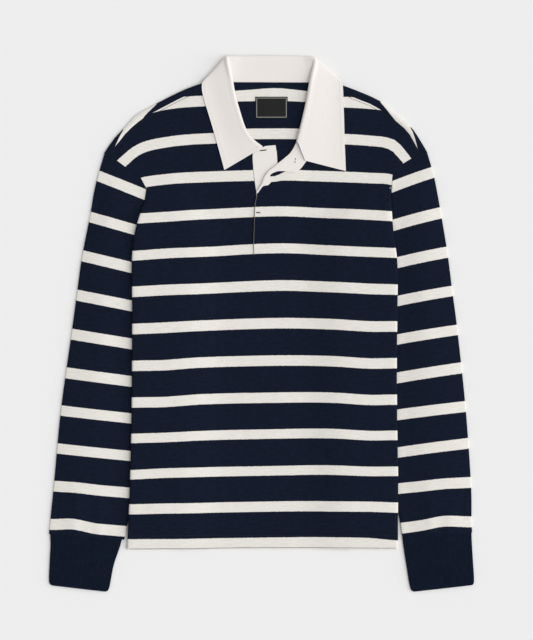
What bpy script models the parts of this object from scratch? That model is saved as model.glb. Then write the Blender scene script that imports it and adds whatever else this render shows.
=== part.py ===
"""A rugby shirt laid flat, face up: striped jersey body and sleeves, rib cuffs, twill collar and placket.

The shirt lies in the XY plane with its neck towards +Y and its front facing +Z.
Tables and sizes are in millimetres, and the meshes are built in metres.
Each piece of cloth is the middle surface of a wall, given its thickness at the end.
"left" and "right" are the sides seen from above, so "left" is towards -X.
"""

import math

import bmesh
import bpy
from mathutils import Vector

MM = 0.001

# Cloth
JERSEY = 1.4            # wall of the striped jersey
TWILL = 1.6             # wall of the collar, two layers of twill and their interlining
FACING = 1.2            # wall of the placket strips
LABEL = 0.7             # wall of the woven label
GAP = 0.4               # clear space between layers that lie on each other
SEAM = 0.35             # clear space between pieces that are sewn edge to edge
ARM_CLEAR = 0.95        # the same at the curved armhole, along X and along Y
LAYER = JERSEY + GAP    # from one layer of jersey to the next
LOW_MID = JERSEY / 2            # middle of the lowest layer of jersey
TOP_MID = LOW_MID + LAYER       # middle of the layer on it
PAIR = 2 * LAYER                # height taken by two layers

# Body, from the neck down
CORNER_Y = 209.0        # where the armhole seam meets the fold at the shirt's side
CHEST_Y = 230.0         # a level row, part of the way up the armholes
SLIT_END_Y = 90.0       # foot of the placket slit
HEM_Y = -349.0
FLAP = 75.0             # cloth folded under at each side
FLAP_START = 16.0       # the same, just below the armhole
FLAP_GROWTH = 70.0      # length over which it grows to the full width
SLEEVE_TUCK = (198.0, 168.0)    # the side rises over the tucked sleeve between these heights
SLEEVE_LEAVES = (-312.0, -348.0)    # and comes down again between these
STACK_RISE = (231.0, 209.0)     # the side rises over its own folded cloth between these
STACK_FALL = 72.0       # width over which the panels come down from the folded side
NECK_X = 16.0           # centre of the neck
NECK_RISE = 2.0         # the back is lifted here by the collar lying under it
NECK_HALF = (104.0, 182.0)      # half widths of that lift, at full height and at nothing
NECK_FOOT = (352.0, 268.0)      # heights between which the lift ends

BODY_SIDES = (
    # y, left fold x, right fold x
    (209.0, -178.0, 200.6),
    (191.0, -180.8, 201.0),
    (171.0, -187.8, 201.8),
    (137.0, -197.0, 204.6),
    (95.0, -201.3, 210.8),
    (36.0, -201.3, 211.4),
    (-56.0, -200.9, 209.9),
    (-149.0, -201.7, 211.1),
    (-242.0, -204.1, 212.2),
    (-297.0, -205.7, 212.0),
    (-349.0, -208.6, 211.4),
)
SHOULDER_SEAM = {
    # x, y from the armhole to the neck: the seam that lies forward of the shoulder
    "left": ((-241.3, 262.0), (-226.8, 274.2), (-209.1, 296.5), (-185.1, 317.1),
             (-165.4, 328.4), (-118.3, 352.5), (-73.0, 371.4)),
    "right": ((254.8, 262.8), (240.9, 270.5), (234.0, 286.1), (222.0, 301.8), (206.2, 315.0),
              (190.2, 326.4), (142.1, 349.8), (105.5, 370.6)),
}
SHOULDER_FOLD = {
    # x, y from the armhole to the neck: where the back rolls over
    "left": ((-244.0, 263.9), (-228.8, 286.1), (-210.8, 305.4), (-194.8, 323.3),
             (-162.8, 341.0), (-123.7, 360.5), (-92.5, 372.2), (-72.0, 375.3)),
    "right": ((257.4, 264.2), (243.5, 287.7), (229.2, 307.2), (206.2, 326.7),
              (179.5, 347.2), (126.9, 368.6), (105.0, 374.5)),
}
ARMHOLE = {
    # x, y from the shoulder to the side
    "left": ((-242.9, 261.3), (-223.2, 252.0), (-211.2, 243.0), (-189.4, 230.0), (-178.0, 209.0)),
    "right": ((256.4, 262.1), (232.8, 256.4), (219.4, 248.2), (202.6, 230.0), (200.6, 209.0)),
}
NECKLINE = {
    # x, y from the placket to the shoulder, under the collar
    "left": ((-14.9, 264.0), (-28.8, 276.8), (-42.8, 293.9), (-56.7, 320.2), (-66.0, 346.6),
             (-73.0, 371.4)),
    "right": ((52.6, 275.2), (66.8, 276.0), (73.5, 286.5), (90.0, 317.1), (100.6, 345.0),
              (105.5, 370.6)),
}
LEFT_LIP = (
    # x, y from the foot of the slit to the neck
    (-11.8, 90.0), (-13.0, 123.4), (-12.3, 163.7), (-10.4, 186.0), (-9.0, 201.3),
    (-11.4, 221.0), (-13.4, 238.5), (-14.9, 264.0),
)
RIGHT_LIP = (
    (-11.8, 90.0), (-12.8, 123.4), (-11.6, 163.7), (-9.9, 186.0), (-7.2, 201.0),
    (-1.1, 211.3), (1.8, 216.4), (3.9, 222.1), (6.4, 228.0), (9.8, 232.8), (15.3, 237.9),
    (24.8, 245.4), (41.4, 258.6), (49.6, 266.8), (54.2, 275.0),
)
LIP_RISE = 1.8          # the lapping edge lies on the under placket
LIP_WIDTH = (44.0, 70.0)    # from the edge, the lap is full to here and gone here
LIP_FOOT = (132.0, 90.0)    # heights between which it comes down to the slit's foot
LIP_HEAD = (242.0, 275.0)   # and to the neck

SLEEVE = {
    # outer x, y; x, y where it goes under the body or its own inner edge; tucked width; crown
    "left": (
        (-243.4, 262.8, -178.6, 209.0, -0.5, 0.0),
        (-253.8, 228.0, -180.6, 197.0, -0.9, 1.2),
        (-260.9, 196.2, -187.0, 174.6, -0.8, 2.2),
        (-266.0, 165.2, -194.2, 145.1, 12.0, 2.6),
        (-277.9, 104.8, -201.2, 87.7, 40.0, 2.8),
        (-286.4, 44.0, -201.3, 28.0, 40.0, 2.8),
        (-294.5, -16.1, -201.3, -31.3, 36.0, 3.0),
        (-310.9, -134.7, -201.5, -146.8, 21.0, 3.2),
        (-321.9, -251.7, -204.8, -261.9, 7.0, 3.2),
        (-327.1, -302.9, -207.1, -312.9, -1.0, 2.8),
        (-329.2, -325.6, -212.6, -334.6, -0.2, 1.6),
    ),
    "right": (
        (256.8, 263.3, 201.2, 209.0, -0.5, 0.0),
        (265.8, 233.4, 202.0, 197.0, -0.6, 1.2),
        (272.6, 200.9, 202.6, 179.2, -0.7, 2.2),
        (277.8, 171.4, 205.2, 152.8, 12.0, 2.6),
        (287.8, 111.0, 211.1, 94.9, 40.0, 2.8),
        (295.6, 50.0, 210.9, 36.0, 40.0, 2.8),
        (303.3, -9.3, 210.3, -23.2, 36.0, 3.0),
        (315.9, -128.2, 210.6, -139.7, 21.0, 3.2),
        (324.3, -245.5, 212.2, -254.8, 7.0, 3.2),
        (325.3, -304.4, 213.6, -308.4, -1.0, 2.8),
        (326.2, -323.6, 217.0, -327.0, -0.2, 1.6),
    ),
}
CUFF = {
    # outer x, y; inner x, y, from the sleeve to the wrist
    "left": (
        (-327.7, -326.1, -216.4, -334.7),
        (-326.9, -343.2, -220.4, -348.6),
        (-328.2, -368.0, -229.4, -375.4),
        (-329.2, -398.6, -235.8, -408.6),
        (-325.4, -405.4, -240.8, -415.2),
    ),
    "right": (
        (325.2, -324.0, 217.8, -327.4),
        (325.8, -340.1, 219.6, -344.7),
        (327.5, -368.0, 224.0, -372.5),
        (329.2, -399.2, 230.2, -408.8),
        (326.0, -405.0, 235.8, -415.2),
    ),
}
SHOWN_CROWN = 0.88      # the sleeve is flat again at this share of the width that shows
CUFF_CROWN = 1.4        # rise of a cuff's upper side at the sleeve
CUFF_FLATTENS = 0.4     # share of that rise which is lost at the wrist
RIB_DEPTH = 0.35
COLLAR = (
    # seam x, y; roll x, y at its outermost; edge x, y; lean: 0 lies inwards, 180 outwards;
    # edge height over the layer below it; bow of the edge end
    (-14.4, 265.4, 1.8, 274.4, -57.6, 237.8, 0, 4.8, 0),
    (-27.8, 278.4, -13.2, 286.2, -66.0, 268.6, 0, 4.7, 0),
    (-41.8, 295.0, -24.4, 302.7, -73.7, 296.2, 0, 4.6, 0),
    (-55.7, 320.8, -33.8, 331.1, -82.8, 326.4, 5, 4.6, 0),
    (-65.0, 347.0, -40.6, 355.9, -90.0, 350.5, 15, 4.6, 0),
    (-69.9, 362.1, -45.6, 380.7, -92.4, 364.0, 40, 4.8, 0),
    (-67.0, 373.6, -53.4, 408.6, -90.6, 374.4, 90, 4.2, 0),
    (-60.0, 375.2, -50.8, 412.6, -80.4, 380.4, 125, 0.8, 0),
    (-48.0, 374.6, -38.5, 414.4, -64.5, 366.7, 160, 0.8, 0),
    (-30.0, 374.3, -25.7, 414.8, -36.6, 362.6, 180, 0.8, 0),
    (16.1, 374.3, 16.1, 415.2, 16.1, 361.3, 180, 0.8, 0),
    (62.5, 373.9, 58.0, 414.5, 69.5, 361.8, 180, 0.8, 0),
    (80.5, 373.8, 70.4, 413.8, 96.8, 366.2, 160, 0.8, 0),
    (93.0, 374.2, 78.6, 411.4, 113.0, 380.6, 125, 0.8, 0),
    (99.6, 372.8, 83.0, 406.0, 123.8, 374.4, 90, 4.2, 0),
    (102.6, 360.5, 75.2, 379.1, 126.0, 362.1, 40, 4.8, 0),
    (98.8, 345.4, 69.6, 349.7, 126.8, 340.4, 15, 4.6, 0),
    (88.0, 317.7, 64.2, 324.9, 127.8, 312.5, 5, 4.6, 0),
    (77.2, 296.2, 58.9, 302.9, 128.4, 284.6, 0, 4.7, 0),
    (69.6, 287.4, 55.5, 290.6, 129.4, 262.9, 0, 4.8, 11),
    (66.4, 280.6, 53.5, 281.8, 130.4, 236.2, 0, 4.8, 20.4),
)
BOW_PEAK = 0.2          # the end is bowed most at this share of the fall
BOW_START = 0.1         # and at the roll by this share of the most
COLLAR_STEPS = 2        # stretches between two rows of the table
ROLL = 2.9              # radius of the collar's roll, to the middle of the twill
ROLL_BASE = {"front": 6.6, "back": 5.2}
SEAM_RISE = 2.0         # the collar's seam at the front lies this much higher than at the back
SEAM_FALL = (90, 125)   # leans between which the seam comes down to the back's level
FALL_BEND = (-0.25, 0.85)   # shares of the fall between which it comes down to the layer below
LOW_EDGE = 1.0          # an edge that is lower than this lies on the floor
FACING_STRIP = (
    # x, y of the turned edge; x, y of the free edge, from the neck down
    (54.4, 279.6, 66.0, 278.0),
    (50.6, 271.4, 70.6, 255.6),
    (44.8, 262.8, 66.4, 247.6),
    (37.8, 256.6, 60.2, 239.6),
    (32.2, 251.9, 52.6, 234.6),
    (25.0, 246.3, 40.4, 235.4),
    (18.4, 240.8, 27.0, 236.0),
    (12.6, 236.4, 18.4, 233.4),
    (8.3, 231.4, 13.4, 229.6),
    (4.8, 225.6, 12.4, 223.8),
    (3.4, 222.0, 15.4, 220.4),
    (1.8, 217.6, 12.6, 216.6),
    (0.6, 215.2, 9.6, 214.2),
    (-0.6, 213.2, 3.2, 213.0),
    (-2.4, 210.4, -0.4, 209.6),
    (-7.2, 202.6, -5.9, 201.8),
)
CURL = 0.8              # the facing goes this far past the lapping edge as it curls round it
FACING_SHARES = (0.15, 0.45, 0.75, 1.0)     # columns across the facing
UNDER_PLACKET = (
    # left x, y; right x, y, from the neck down
    (5.8, 275.0, 21.6, 276.4),
    (-4.0, 268.2, 22.5, 270.2),
    (-13.6, 263.2, 23.6, 263.8),
    (-12.6, 238.5, 25.0, 241.2),
    (-10.6, 221.0, 26.4, 222.6),
    (-8.2, 201.3, 27.0, 201.3),
    (-9.4, 185.4, 27.0, 185.4),
    (-11.2, 152.8, 27.0, 152.8),
    (-11.8, 135.0, 27.0, 135.0),
)
LABEL_BOX = (-9.6, 317.6, 40.3, 351.2)    # low x, low y, high x, high y

FRONT_FOLDS = (
    # from x, y; to x, y; half width; height
    (198.0, 280.0, 199.0, 120.0, 7.0, 1.0),
    (-150.0, 232.0, -92.0, 168.0, 13.0, 1.1),
    (168.0, 222.0, 120.0, 150.0, 14.0, 0.9),
    (-60.0, 60.0, 150.0, 92.0, 26.0, 0.7),
    (-182.0, -60.0, -70.0, 6.0, 22.0, 0.8),
    (190.0, -120.0, 60.0, -196.0, 24.0, 0.8),
)
SLEEVE_FOLDS = {
    # share along the sleeve, share across it; half length and half width as shares; height
    "left": (
        (0.30, 0.42, 0.16, 0.16, 1.0),
        (0.62, 0.55, 0.14, 0.18, 1.1),
        (0.90, 0.36, 0.10, 0.10, 1.6),
        (0.90, 0.72, 0.08, 0.09, 1.2),
    ),
    "right": (
        (0.28, 0.40, 0.16, 0.16, 1.0),
        (0.58, 0.60, 0.14, 0.18, 1.1),
        (0.91, 0.32, 0.09, 0.10, 1.4),
        (0.89, 0.66, 0.10, 0.10, 1.5),
    ),
}

# Faces
SHOULDER_COLUMNS = 5    # along one shoulder
NECK_COLUMNS = 5        # from a shoulder to the slit, as many as the neckline has stretches
FLAP_COLUMNS = 2        # across the cloth folded under
WRAP_STEPS = 4          # round a fold
SKIRT_ROWS = 10         # from the hem to the foot of the slit
SLIT_ROWS = 7           # from there to the side corner
ARM_ROWS = 2            # from there to the chest row
YOKE_ROWS = 5           # from there to the shoulder
SLEEVE_STEPS = 2        # stretches between two rows of the sleeve's table
CURVE_STEPS = 3         # the same for the lines of the shoulder
SLEEVE_COLUMNS = 8      # across one side of a sleeve
PLACKET_COLUMNS = 3     # across the under placket
LABEL_CELLS = (4, 3)    # across the label and up it
RIBS = 25               # across the upper side of a cuff
STAND_COLUMNS = 3       # from the collar's seam to its roll
FALL_COLUMNS = 5        # from its roll to its free edge

NAVY = (0.012, 0.018, 0.036)
OFF_WHITE = (0.80, 0.76, 0.72)
WOVEN_BLACK = (0.02, 0.02, 0.024)


# Small mathematics

def smooth(value, start, end):
    """0 before start, 1 after end, and an even curve between them."""
    share = min(1.0, max(0.0, (value - start) / (end - start)))
    return share * share * (3 - 2 * share)


def mix(first, second, share):
    """The row that lies a share of the way from the first to the second."""
    return tuple(a + (b - a) * share for a, b in zip(first, second))


def spline(before, first, second, after, share):
    """A smooth curve through four rows, between the second and the third."""
    return tuple(
        0.5 * (2 * b + (c - a) * share + (2 * a - 5 * b + 4 * c - d) * share ** 2
               + (3 * b - a - 3 * c + d) * share ** 3)
        for a, b, c, d in zip(before, first, second, after)
    )


def refine(table, steps):
    """The table's rows, with others laid between them on a smooth curve."""
    rows = []
    last = len(table) - 1
    for i in range(last):
        near = (table[max(i - 1, 0)], table[i], table[i + 1], table[min(i + 2, last)])
        rows += [spline(*near, step / steps) for step in range(steps)]
    return rows + [tuple(map(float, table[last]))]


def along(line, share):
    """The point at a share of a line's length."""
    lengths = [math.dist(a, b) for a, b in zip(line, line[1:])]
    left = share * sum(lengths)
    for a, b, length in zip(line, line[1:], lengths):
        if left <= length:
            return mix(a, b, left / length)
        left -= length
    return tuple(line[-1])


def even(line, count):
    """The ends of that many equal stretches of a line."""
    return [along(line, i / count) for i in range(count + 1)]


def at_height(line, y):
    """The x of a line at a height."""
    for low, high in zip(line, line[1:]):
        if min(low[1], high[1]) <= y <= max(low[1], high[1]) and low[1] != high[1]:
            return low[0] + (high[0] - low[0]) * (y - low[1]) / (high[1] - low[1])
    return min(line, key=lambda point: abs(point[1] - y))[0]


def shifted(point, towards, distance):
    """A point moved by a distance in the direction of another."""
    return mix(point, towards, distance / math.dist(point, towards))


def coons(low, high, left, right):
    """Rows of points that fill the space between four lines which meet at their ends."""
    rows = []
    for i in range(len(left)):
        t = i / (len(left) - 1)
        row = []
        for j in range(len(low)):
            s = j / (len(low) - 1)
            row.append(tuple(
                (1 - t) * low[j][k] + t * high[j][k] + (1 - s) * left[i][k] + s * right[i][k]
                - (1 - s) * ((1 - t) * low[0][k] + t * high[0][k])
                - s * ((1 - t) * low[-1][k] + t * high[-1][k])
                for k in (0, 1)
            ))
        rows.append(row)
    return rows


# How high the cloth lies

def fold_at(side, y):
    """The x of one side's fold at a height."""
    return at_height([(row[1 if side == "left" else 2], row[0]) for row in BODY_SIDES], y)


def flap_at(y):
    """The width that is folded under at a height."""
    return FLAP_START + (FLAP - FLAP_START) * smooth(CORNER_Y - y, 0, FLAP_GROWTH)


def tuck_at(y):
    """The lift that the tucked sleeve gives the side."""
    return PAIR * smooth(y, *SLEEVE_TUCK) * (1 - smooth(y, *SLEEVE_LEAVES))


def lay(x, y):
    """The height of the back panel's underside."""
    inside = min(x - fold_at("left", y), fold_at("right", y) - x)
    slope = 1 - smooth(inside, flap_at(y) + 2, flap_at(y) + STACK_FALL)
    side = (PAIR * smooth(y, *STACK_RISE) + tuck_at(y)) * slope
    neck = (1 - smooth(abs(x - NECK_X), *NECK_HALF)) * (1 - smooth(y, *NECK_FOOT))
    return side + NECK_RISE * neck


def ridge(along_fold, across_fold):
    """The height of a soft fold, as a share, where both numbers are 0 at its middle."""
    return max(0.0, 1 - along_fold ** 2) * math.exp(-across_fold ** 2)


def front_folds(x, y):
    """The lift of the front by its folds."""
    height = 0.0
    for x1, y1, x2, y2, half, rise in FRONT_FOLDS:
        length = math.dist((x1, y1), (x2, y2))
        run = ((x - x1) * (x2 - x1) + (y - y1) * (y2 - y1)) / length
        aside = ((x - x1) * (y2 - y1) - (y - y1) * (x2 - x1)) / length
        height += rise * ridge(2 * run / length - 1, aside / half)
    return height


def lap(x, y):
    """The lift of the front where it laps over the under placket."""
    inside = x - at_height(RIGHT_LIP, y)
    lift = LIP_RISE * (1 - smooth(inside, *LIP_WIDTH))
    return lift * (1 - smooth(y, *LIP_FOOT)) * (1 - smooth(y, *LIP_HEAD))


def back_point(x, y):
    """A point of the back panel."""
    return (x, y, lay(x, y) + LOW_MID)


def front_left_point(x, y):
    """A point of the front panel, left of its slit."""
    return (x, y, lay(x, y) + TOP_MID + front_folds(x, y))


def front_right_point(x, y):
    """A point of the front panel, right of its slit."""
    return (x, y, lay(x, y) + TOP_MID + front_folds(x, y) + lap(x, y))


# Meshes

def add_patch(bm, rows):
    """Adds the faces of a grid of points, given in millimetres."""
    grid = [[bm.verts.new(Vector(point) * MM) for point in row] for row in rows]
    for low, high in zip(grid, grid[1:]):
        for a, b, c, d in zip(low, low[1:], high[1:], high):
            bm.faces.new((a, b, c, d))
    return grid


def finish(name, bm, colour, roughness):
    """Makes the object of a finished mesh."""
    bmesh.ops.remove_doubles(bm, verts=bm.verts, dist=0.01 * MM)
    bmesh.ops.recalc_face_normals(bm, faces=bm.faces)
    mesh = bpy.data.meshes.new(name)
    bm.to_mesh(mesh)
    bm.free()
    mesh.shade_smooth()
    material = bpy.data.materials.new(name)
    material.use_nodes = True
    shader = material.node_tree.nodes["Principled BSDF"]
    shader.inputs["Base Color"].default_value = (*colour, 1)
    shader.inputs["Roughness"].default_value = roughness
    shader.inputs["Metallic"].default_value = 0
    mesh.materials.append(material)
    piece = bpy.data.objects.new(name, mesh)
    bpy.context.scene.collection.objects.link(piece)
    return piece


def cloth(name, patches, wall, colour, roughness):
    """One piece of cloth: patches that share their edges, thickened to a wall about them."""
    bm = bmesh.new()
    for rows in patches:
        add_patch(bm, rows)
    piece = finish(name, bm, colour, roughness)
    thickness = piece.modifiers.new("wall", "SOLIDIFY")
    thickness.thickness = wall * MM
    thickness.offset = 0
    return piece


# Body

def body_heights():
    """The heights of the level rows, from the hem to the chest."""
    stops = (HEM_Y, SLIT_END_Y, CORNER_Y, CHEST_Y)
    counts = (SKIRT_ROWS, SLIT_ROWS, ARM_ROWS)
    rows = [low + (high - low) * i / count
            for low, high, count in zip(stops, stops[1:], counts) for i in range(count)]
    return rows + [CHEST_Y]


def panel_edge(side, y):
    """The x where a panel's upper side ends: at its fold, or at the armhole."""
    if y > CORNER_Y:
        return at_height(ARMHOLE[side], y)
    inwards = 1 if side == "left" else -1
    return fold_at(side, y) + inwards * (JERSEY / 2 + 1.5 * LAYER)


def lip(line, y):
    """The x of one edge of the slit, or of the line below its foot."""
    return line[0][0] if y <= SLIT_END_Y else at_height(line, y)


def half_rows(start, end):
    """Level rows across half of the body, between two functions of the height."""
    columns = SHOULDER_COLUMNS + NECK_COLUMNS
    return [[mix((start(y), y), (end(y), y), j / columns) for j in range(columns + 1)]
            for y in body_heights()]


def left_half():
    return half_rows(lambda y: panel_edge("left", y), lambda y: lip(LEFT_LIP, y))


def right_half():
    return half_rows(lambda y: lip(RIGHT_LIP, y), lambda y: panel_edge("right", y))


def wrapped(side, radius, top_height):
    """The cloth that goes round a side's fold and lies turned under, row by row."""
    inwards = 1 if side == "left" else -1
    rows = []
    for y in body_heights():
        if y > CORNER_Y:
            break
        centre = panel_edge(side, y)
        middle = tuck_at(y) + LOW_MID + 1.5 * LAYER
        row = [(centre, y, top_height(centre, y)[2])]
        for step in range(1, WRAP_STEPS + 1):
            angle = math.pi * step / WRAP_STEPS
            row.append((centre - inwards * radius * math.sin(angle), y,
                        middle + radius * math.cos(angle)))
        low = middle - radius
        reach = flap_at(y) - radius
        row += [(centre + inwards * reach * i / FLAP_COLUMNS, y, low)
                for i in range(1, FLAP_COLUMNS + 1)]
        rows.append(row)
    return rows


def yoke_side(side, y, corner):
    """The armhole from the chest row to a corner at the shoulder."""
    above = [point for point in ARMHOLE[side][1:] if point[1] > y]
    return even([(at_height(ARMHOLE[side], y), y), *above[::-1], corner], YOKE_ROWS)


def seam_stations(side):
    """Pairs of points, on the shoulder's seam and on its fold, from the armhole to the neck."""
    seam = even(refine(SHOULDER_SEAM[side], CURVE_STEPS), SHOULDER_COLUMNS)
    fold = even(refine(SHOULDER_FOLD[side], CURVE_STEPS), SHOULDER_COLUMNS)
    return list(zip(seam, fold))


def front_yoke(side):
    """The front between the chest row and the shoulder seam, on one side of the slit."""
    seam = [shifted(a, b, -SEAM / 2) for a, b in seam_stations(side)]
    neck = NECKLINE[side]
    top = seam + list(neck[::-1][1:])
    line = LEFT_LIP if side == "left" else RIGHT_LIP
    slit = [(at_height(line, CHEST_Y), CHEST_Y)] + [p for p in line if p[1] > CHEST_Y]
    slit = even(slit[:-1] + [neck[0]], YOKE_ROWS)
    armhole = yoke_side(side, CHEST_Y, seam[0])
    if side == "left":
        return coons(left_half()[-1], top, armhole, slit)
    return coons(right_half()[-1], top[::-1], slit, armhole)


def back_shoulder(side):
    """Where the back begins to roll over at one shoulder, from the armhole to the neck."""
    return [shifted(b, a, (JERSEY + LAYER) / 2) for a, b in seam_stations(side)]


def back_yoke():
    """The back between the chest row and the shoulders."""
    left = back_shoulder("left")
    right = back_shoulder("right")
    neck = even([left[-1], right[-1]], 2 * NECK_COLUMNS)
    top = left + neck[1:-1] + right[::-1]
    low = left_half()[-1] + right_half()[-1][1:]
    sides = [yoke_side(side, CHEST_Y, start[0]) for side, start in (("left", left), ("right", right))]
    return coons(low, top, *sides)


def shoulder_wrap(side):
    """The back where it rolls over a shoulder and comes down to the seam on the front."""
    rows = []
    radius = LAYER / 2
    for (seam, fold), start in zip(seam_stations(side), back_shoulder(side)):
        height = lay(*start) + LOW_MID
        row = [(*start, height)]
        for step in range(1, WRAP_STEPS + 1):
            angle = math.pi * step / WRAP_STEPS
            point = shifted(start, fold, radius * math.sin(angle))
            row.append((*point, height + radius - radius * math.cos(angle)))
        row.append((*shifted(seam, fold, SEAM / 2), lay(*seam) + TOP_MID))
        rows.append(row)
    return rows


def raised(rows, height):
    """Flat rows of points, each at the height that a function gives."""
    return [[height(*point) for point in row] for row in rows]


def build_back():
    """The back panel, with its turned sides and its shoulders."""
    level = [left + right[1:] for left, right in zip(left_half(), right_half())]
    patches = [raised(level + back_yoke()[1:], back_point)]
    for side in ("left", "right"):
        patches.append(wrapped(side, LAYER / 2, back_point))
        patches.append(shoulder_wrap(side))
    cloth("back_panel", patches, JERSEY, NAVY, 0.9)


def build_front():
    """The front panel, slit from the neck, with its turned sides."""
    patches = [
        raised(left_half() + front_yoke("left")[1:], front_left_point),
        raised(right_half() + front_yoke("right")[1:], front_right_point),
        wrapped("left", 1.5 * LAYER, front_left_point),
        wrapped("right", 1.5 * LAYER, front_right_point),
    ]
    cloth("front_panel", patches, JERSEY, NAVY, 0.9)


# Sleeves and cuffs

def arc(centre, outwards, upwards):
    """Points of a half circle at the edge of a flat tube, between its two layers."""
    points = []
    for step in range(1, WRAP_STEPS):
        angle = math.pi * step / WRAP_STEPS
        reach = LAYER / 2 * math.sin(angle)
        rise = LAYER / 2 * (1 - math.cos(angle))
        height = LOW_MID + (rise if upwards else LAYER - rise)
        points.append((centre[0] + outwards[0] * reach, centre[1] + outwards[1] * reach, height))
    return points


def flat_ring(low, high, outwards):
    """A closed ring of a flat tube: its lower side, then its upper side, both outer edge first."""
    return low[::-1] + arc(low[0], outwards, True) + high + arc(
        high[-1], tuple(-value for value in outwards), False)


def tube_line(row, seam_line=None):
    """The middle line of a flat tube's ring, its direction outwards, and where it is tucked."""
    outer, edge, tucked = row[:2], row[2:4], row[4]
    width = math.dist(outer, edge)
    inset = (JERSEY + LAYER) / 2
    start = shifted(outer, edge, inset)
    end = shifted(edge, outer, inset - tucked)
    outwards = tuple((a - b) / width for a, b in zip(outer, edge))
    shares = [i / SLEEVE_COLUMNS for i in range(SLEEVE_COLUMNS + 1)]
    if seam_line is None:
        line = [mix(start, end, share) for share in shares]
    else:
        line = [along([start, *seam_line[1:-1], end], share) for share in shares]
    return line, outwards, SHOWN_CROWN * width / (width + max(tucked, 0.0))


def crown_at(share, shown):
    """The rise of a tube's upper side across it: none where it is tucked under the body."""
    return max(0.0, 4 * share / shown * (1 - share / shown))


def sleeve_seam(side):
    """The armhole's line, moved off the body by the seam's clear space."""
    outwards = -1 if side == "left" else 1
    return [(x + outwards * ARM_CLEAR, y - ARM_CLEAR) for x, y in ARMHOLE[side]]


def build_sleeve(side):
    """One sleeve: a flat tube from the armhole to the cuff."""
    table = refine(SLEEVE[side], SLEEVE_STEPS)
    rings = []
    for i, row in enumerate(table):
        line, outwards, shown = tube_line(row, sleeve_seam(side) if i == 0 else None)
        top = []
        for j, (x, y) in enumerate(line):
            share = j / SLEEVE_COLUMNS
            rise = row[5] * crown_at(share, shown)
            for middle, centre, half_run, half_width, height in SLEEVE_FOLDS[side]:
                rise += height * ridge((i / (len(table) - 1) - middle) / half_run,
                                       (share / shown - centre) / half_width) * (rise > 0)
            top.append((x, y, TOP_MID + rise))
        low = [(x, y, LOW_MID) for x, y in line]
        ring = flat_ring(low, top, outwards)
        rings.append(ring + ring[:1])
    cloth(f"sleeve_{side}", [rings], JERSEY, NAVY, 0.9)


def cuff_ring(row, share_down, wall_out, rib):
    """A closed ring of a cuff, moved out of its middle by wall_out, with or without ribs."""
    outer, inner = row[:2], row[2:4]
    width = math.dist(outer, inner)
    outwards = tuple((a - b) / width for a, b in zip(outer, inner))
    inset = (JERSEY + LAYER) / 2
    start, end = shifted(outer, inner, inset), shifted(inner, outer, inset)
    count = 2 * RIBS
    crown = CUFF_CROWN * (1 - CUFF_FLATTENS * share_down)
    top = []
    for i in range(count + 1):
        share = i / count
        raised_by = RIB_DEPTH if rib and i % 2 else 0.0
        height = TOP_MID + wall_out + raised_by + crown * crown_at(share, 1.0)
        top.append((*mix(start, end, share), height))
    low = [(*mix(start, end, i / SLEEVE_COLUMNS), LOW_MID - wall_out)
           for i in range(SLEEVE_COLUMNS + 1)]
    ring = low[::-1]
    for centre, sign, upwards in ((start, 1, True), (end, -1, False)):
        for step in range(1, WRAP_STEPS):
            angle = math.pi * step / WRAP_STEPS
            reach = sign * (LAYER / 2 + wall_out) * math.sin(angle)
            rise = -(LAYER / 2 + wall_out) * math.cos(angle) * (1 if upwards else -1)
            ring.append((centre[0] + outwards[0] * reach, centre[1] + outwards[1] * reach,
                         LOW_MID + LAYER / 2 + rise))
        if upwards:
            ring += top
    return ring


def build_cuff(side):
    """One cuff: a flat rib-knit tube, ribbed on its upper side and plain within."""
    bm = bmesh.new()
    rows = CUFF[side]
    grids = []
    for wall_out, rib in ((JERSEY / 2, True), (-JERSEY / 2, False)):
        rings = [cuff_ring(row, i / (len(rows) - 1), wall_out, rib) for i, row in enumerate(rows)]
        grids.append(add_patch(bm, [ring + ring[:1] for ring in rings]))
    outer, inner = grids
    for end in (0, -1):
        for a, b, c, d in zip(outer[end], outer[end][1:], inner[end][1:], inner[end]):
            bm.faces.new((a, b, c, d))
    finish(f"cuff_{side}", bm, NAVY, 0.92)


# Collar and placket

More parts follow.
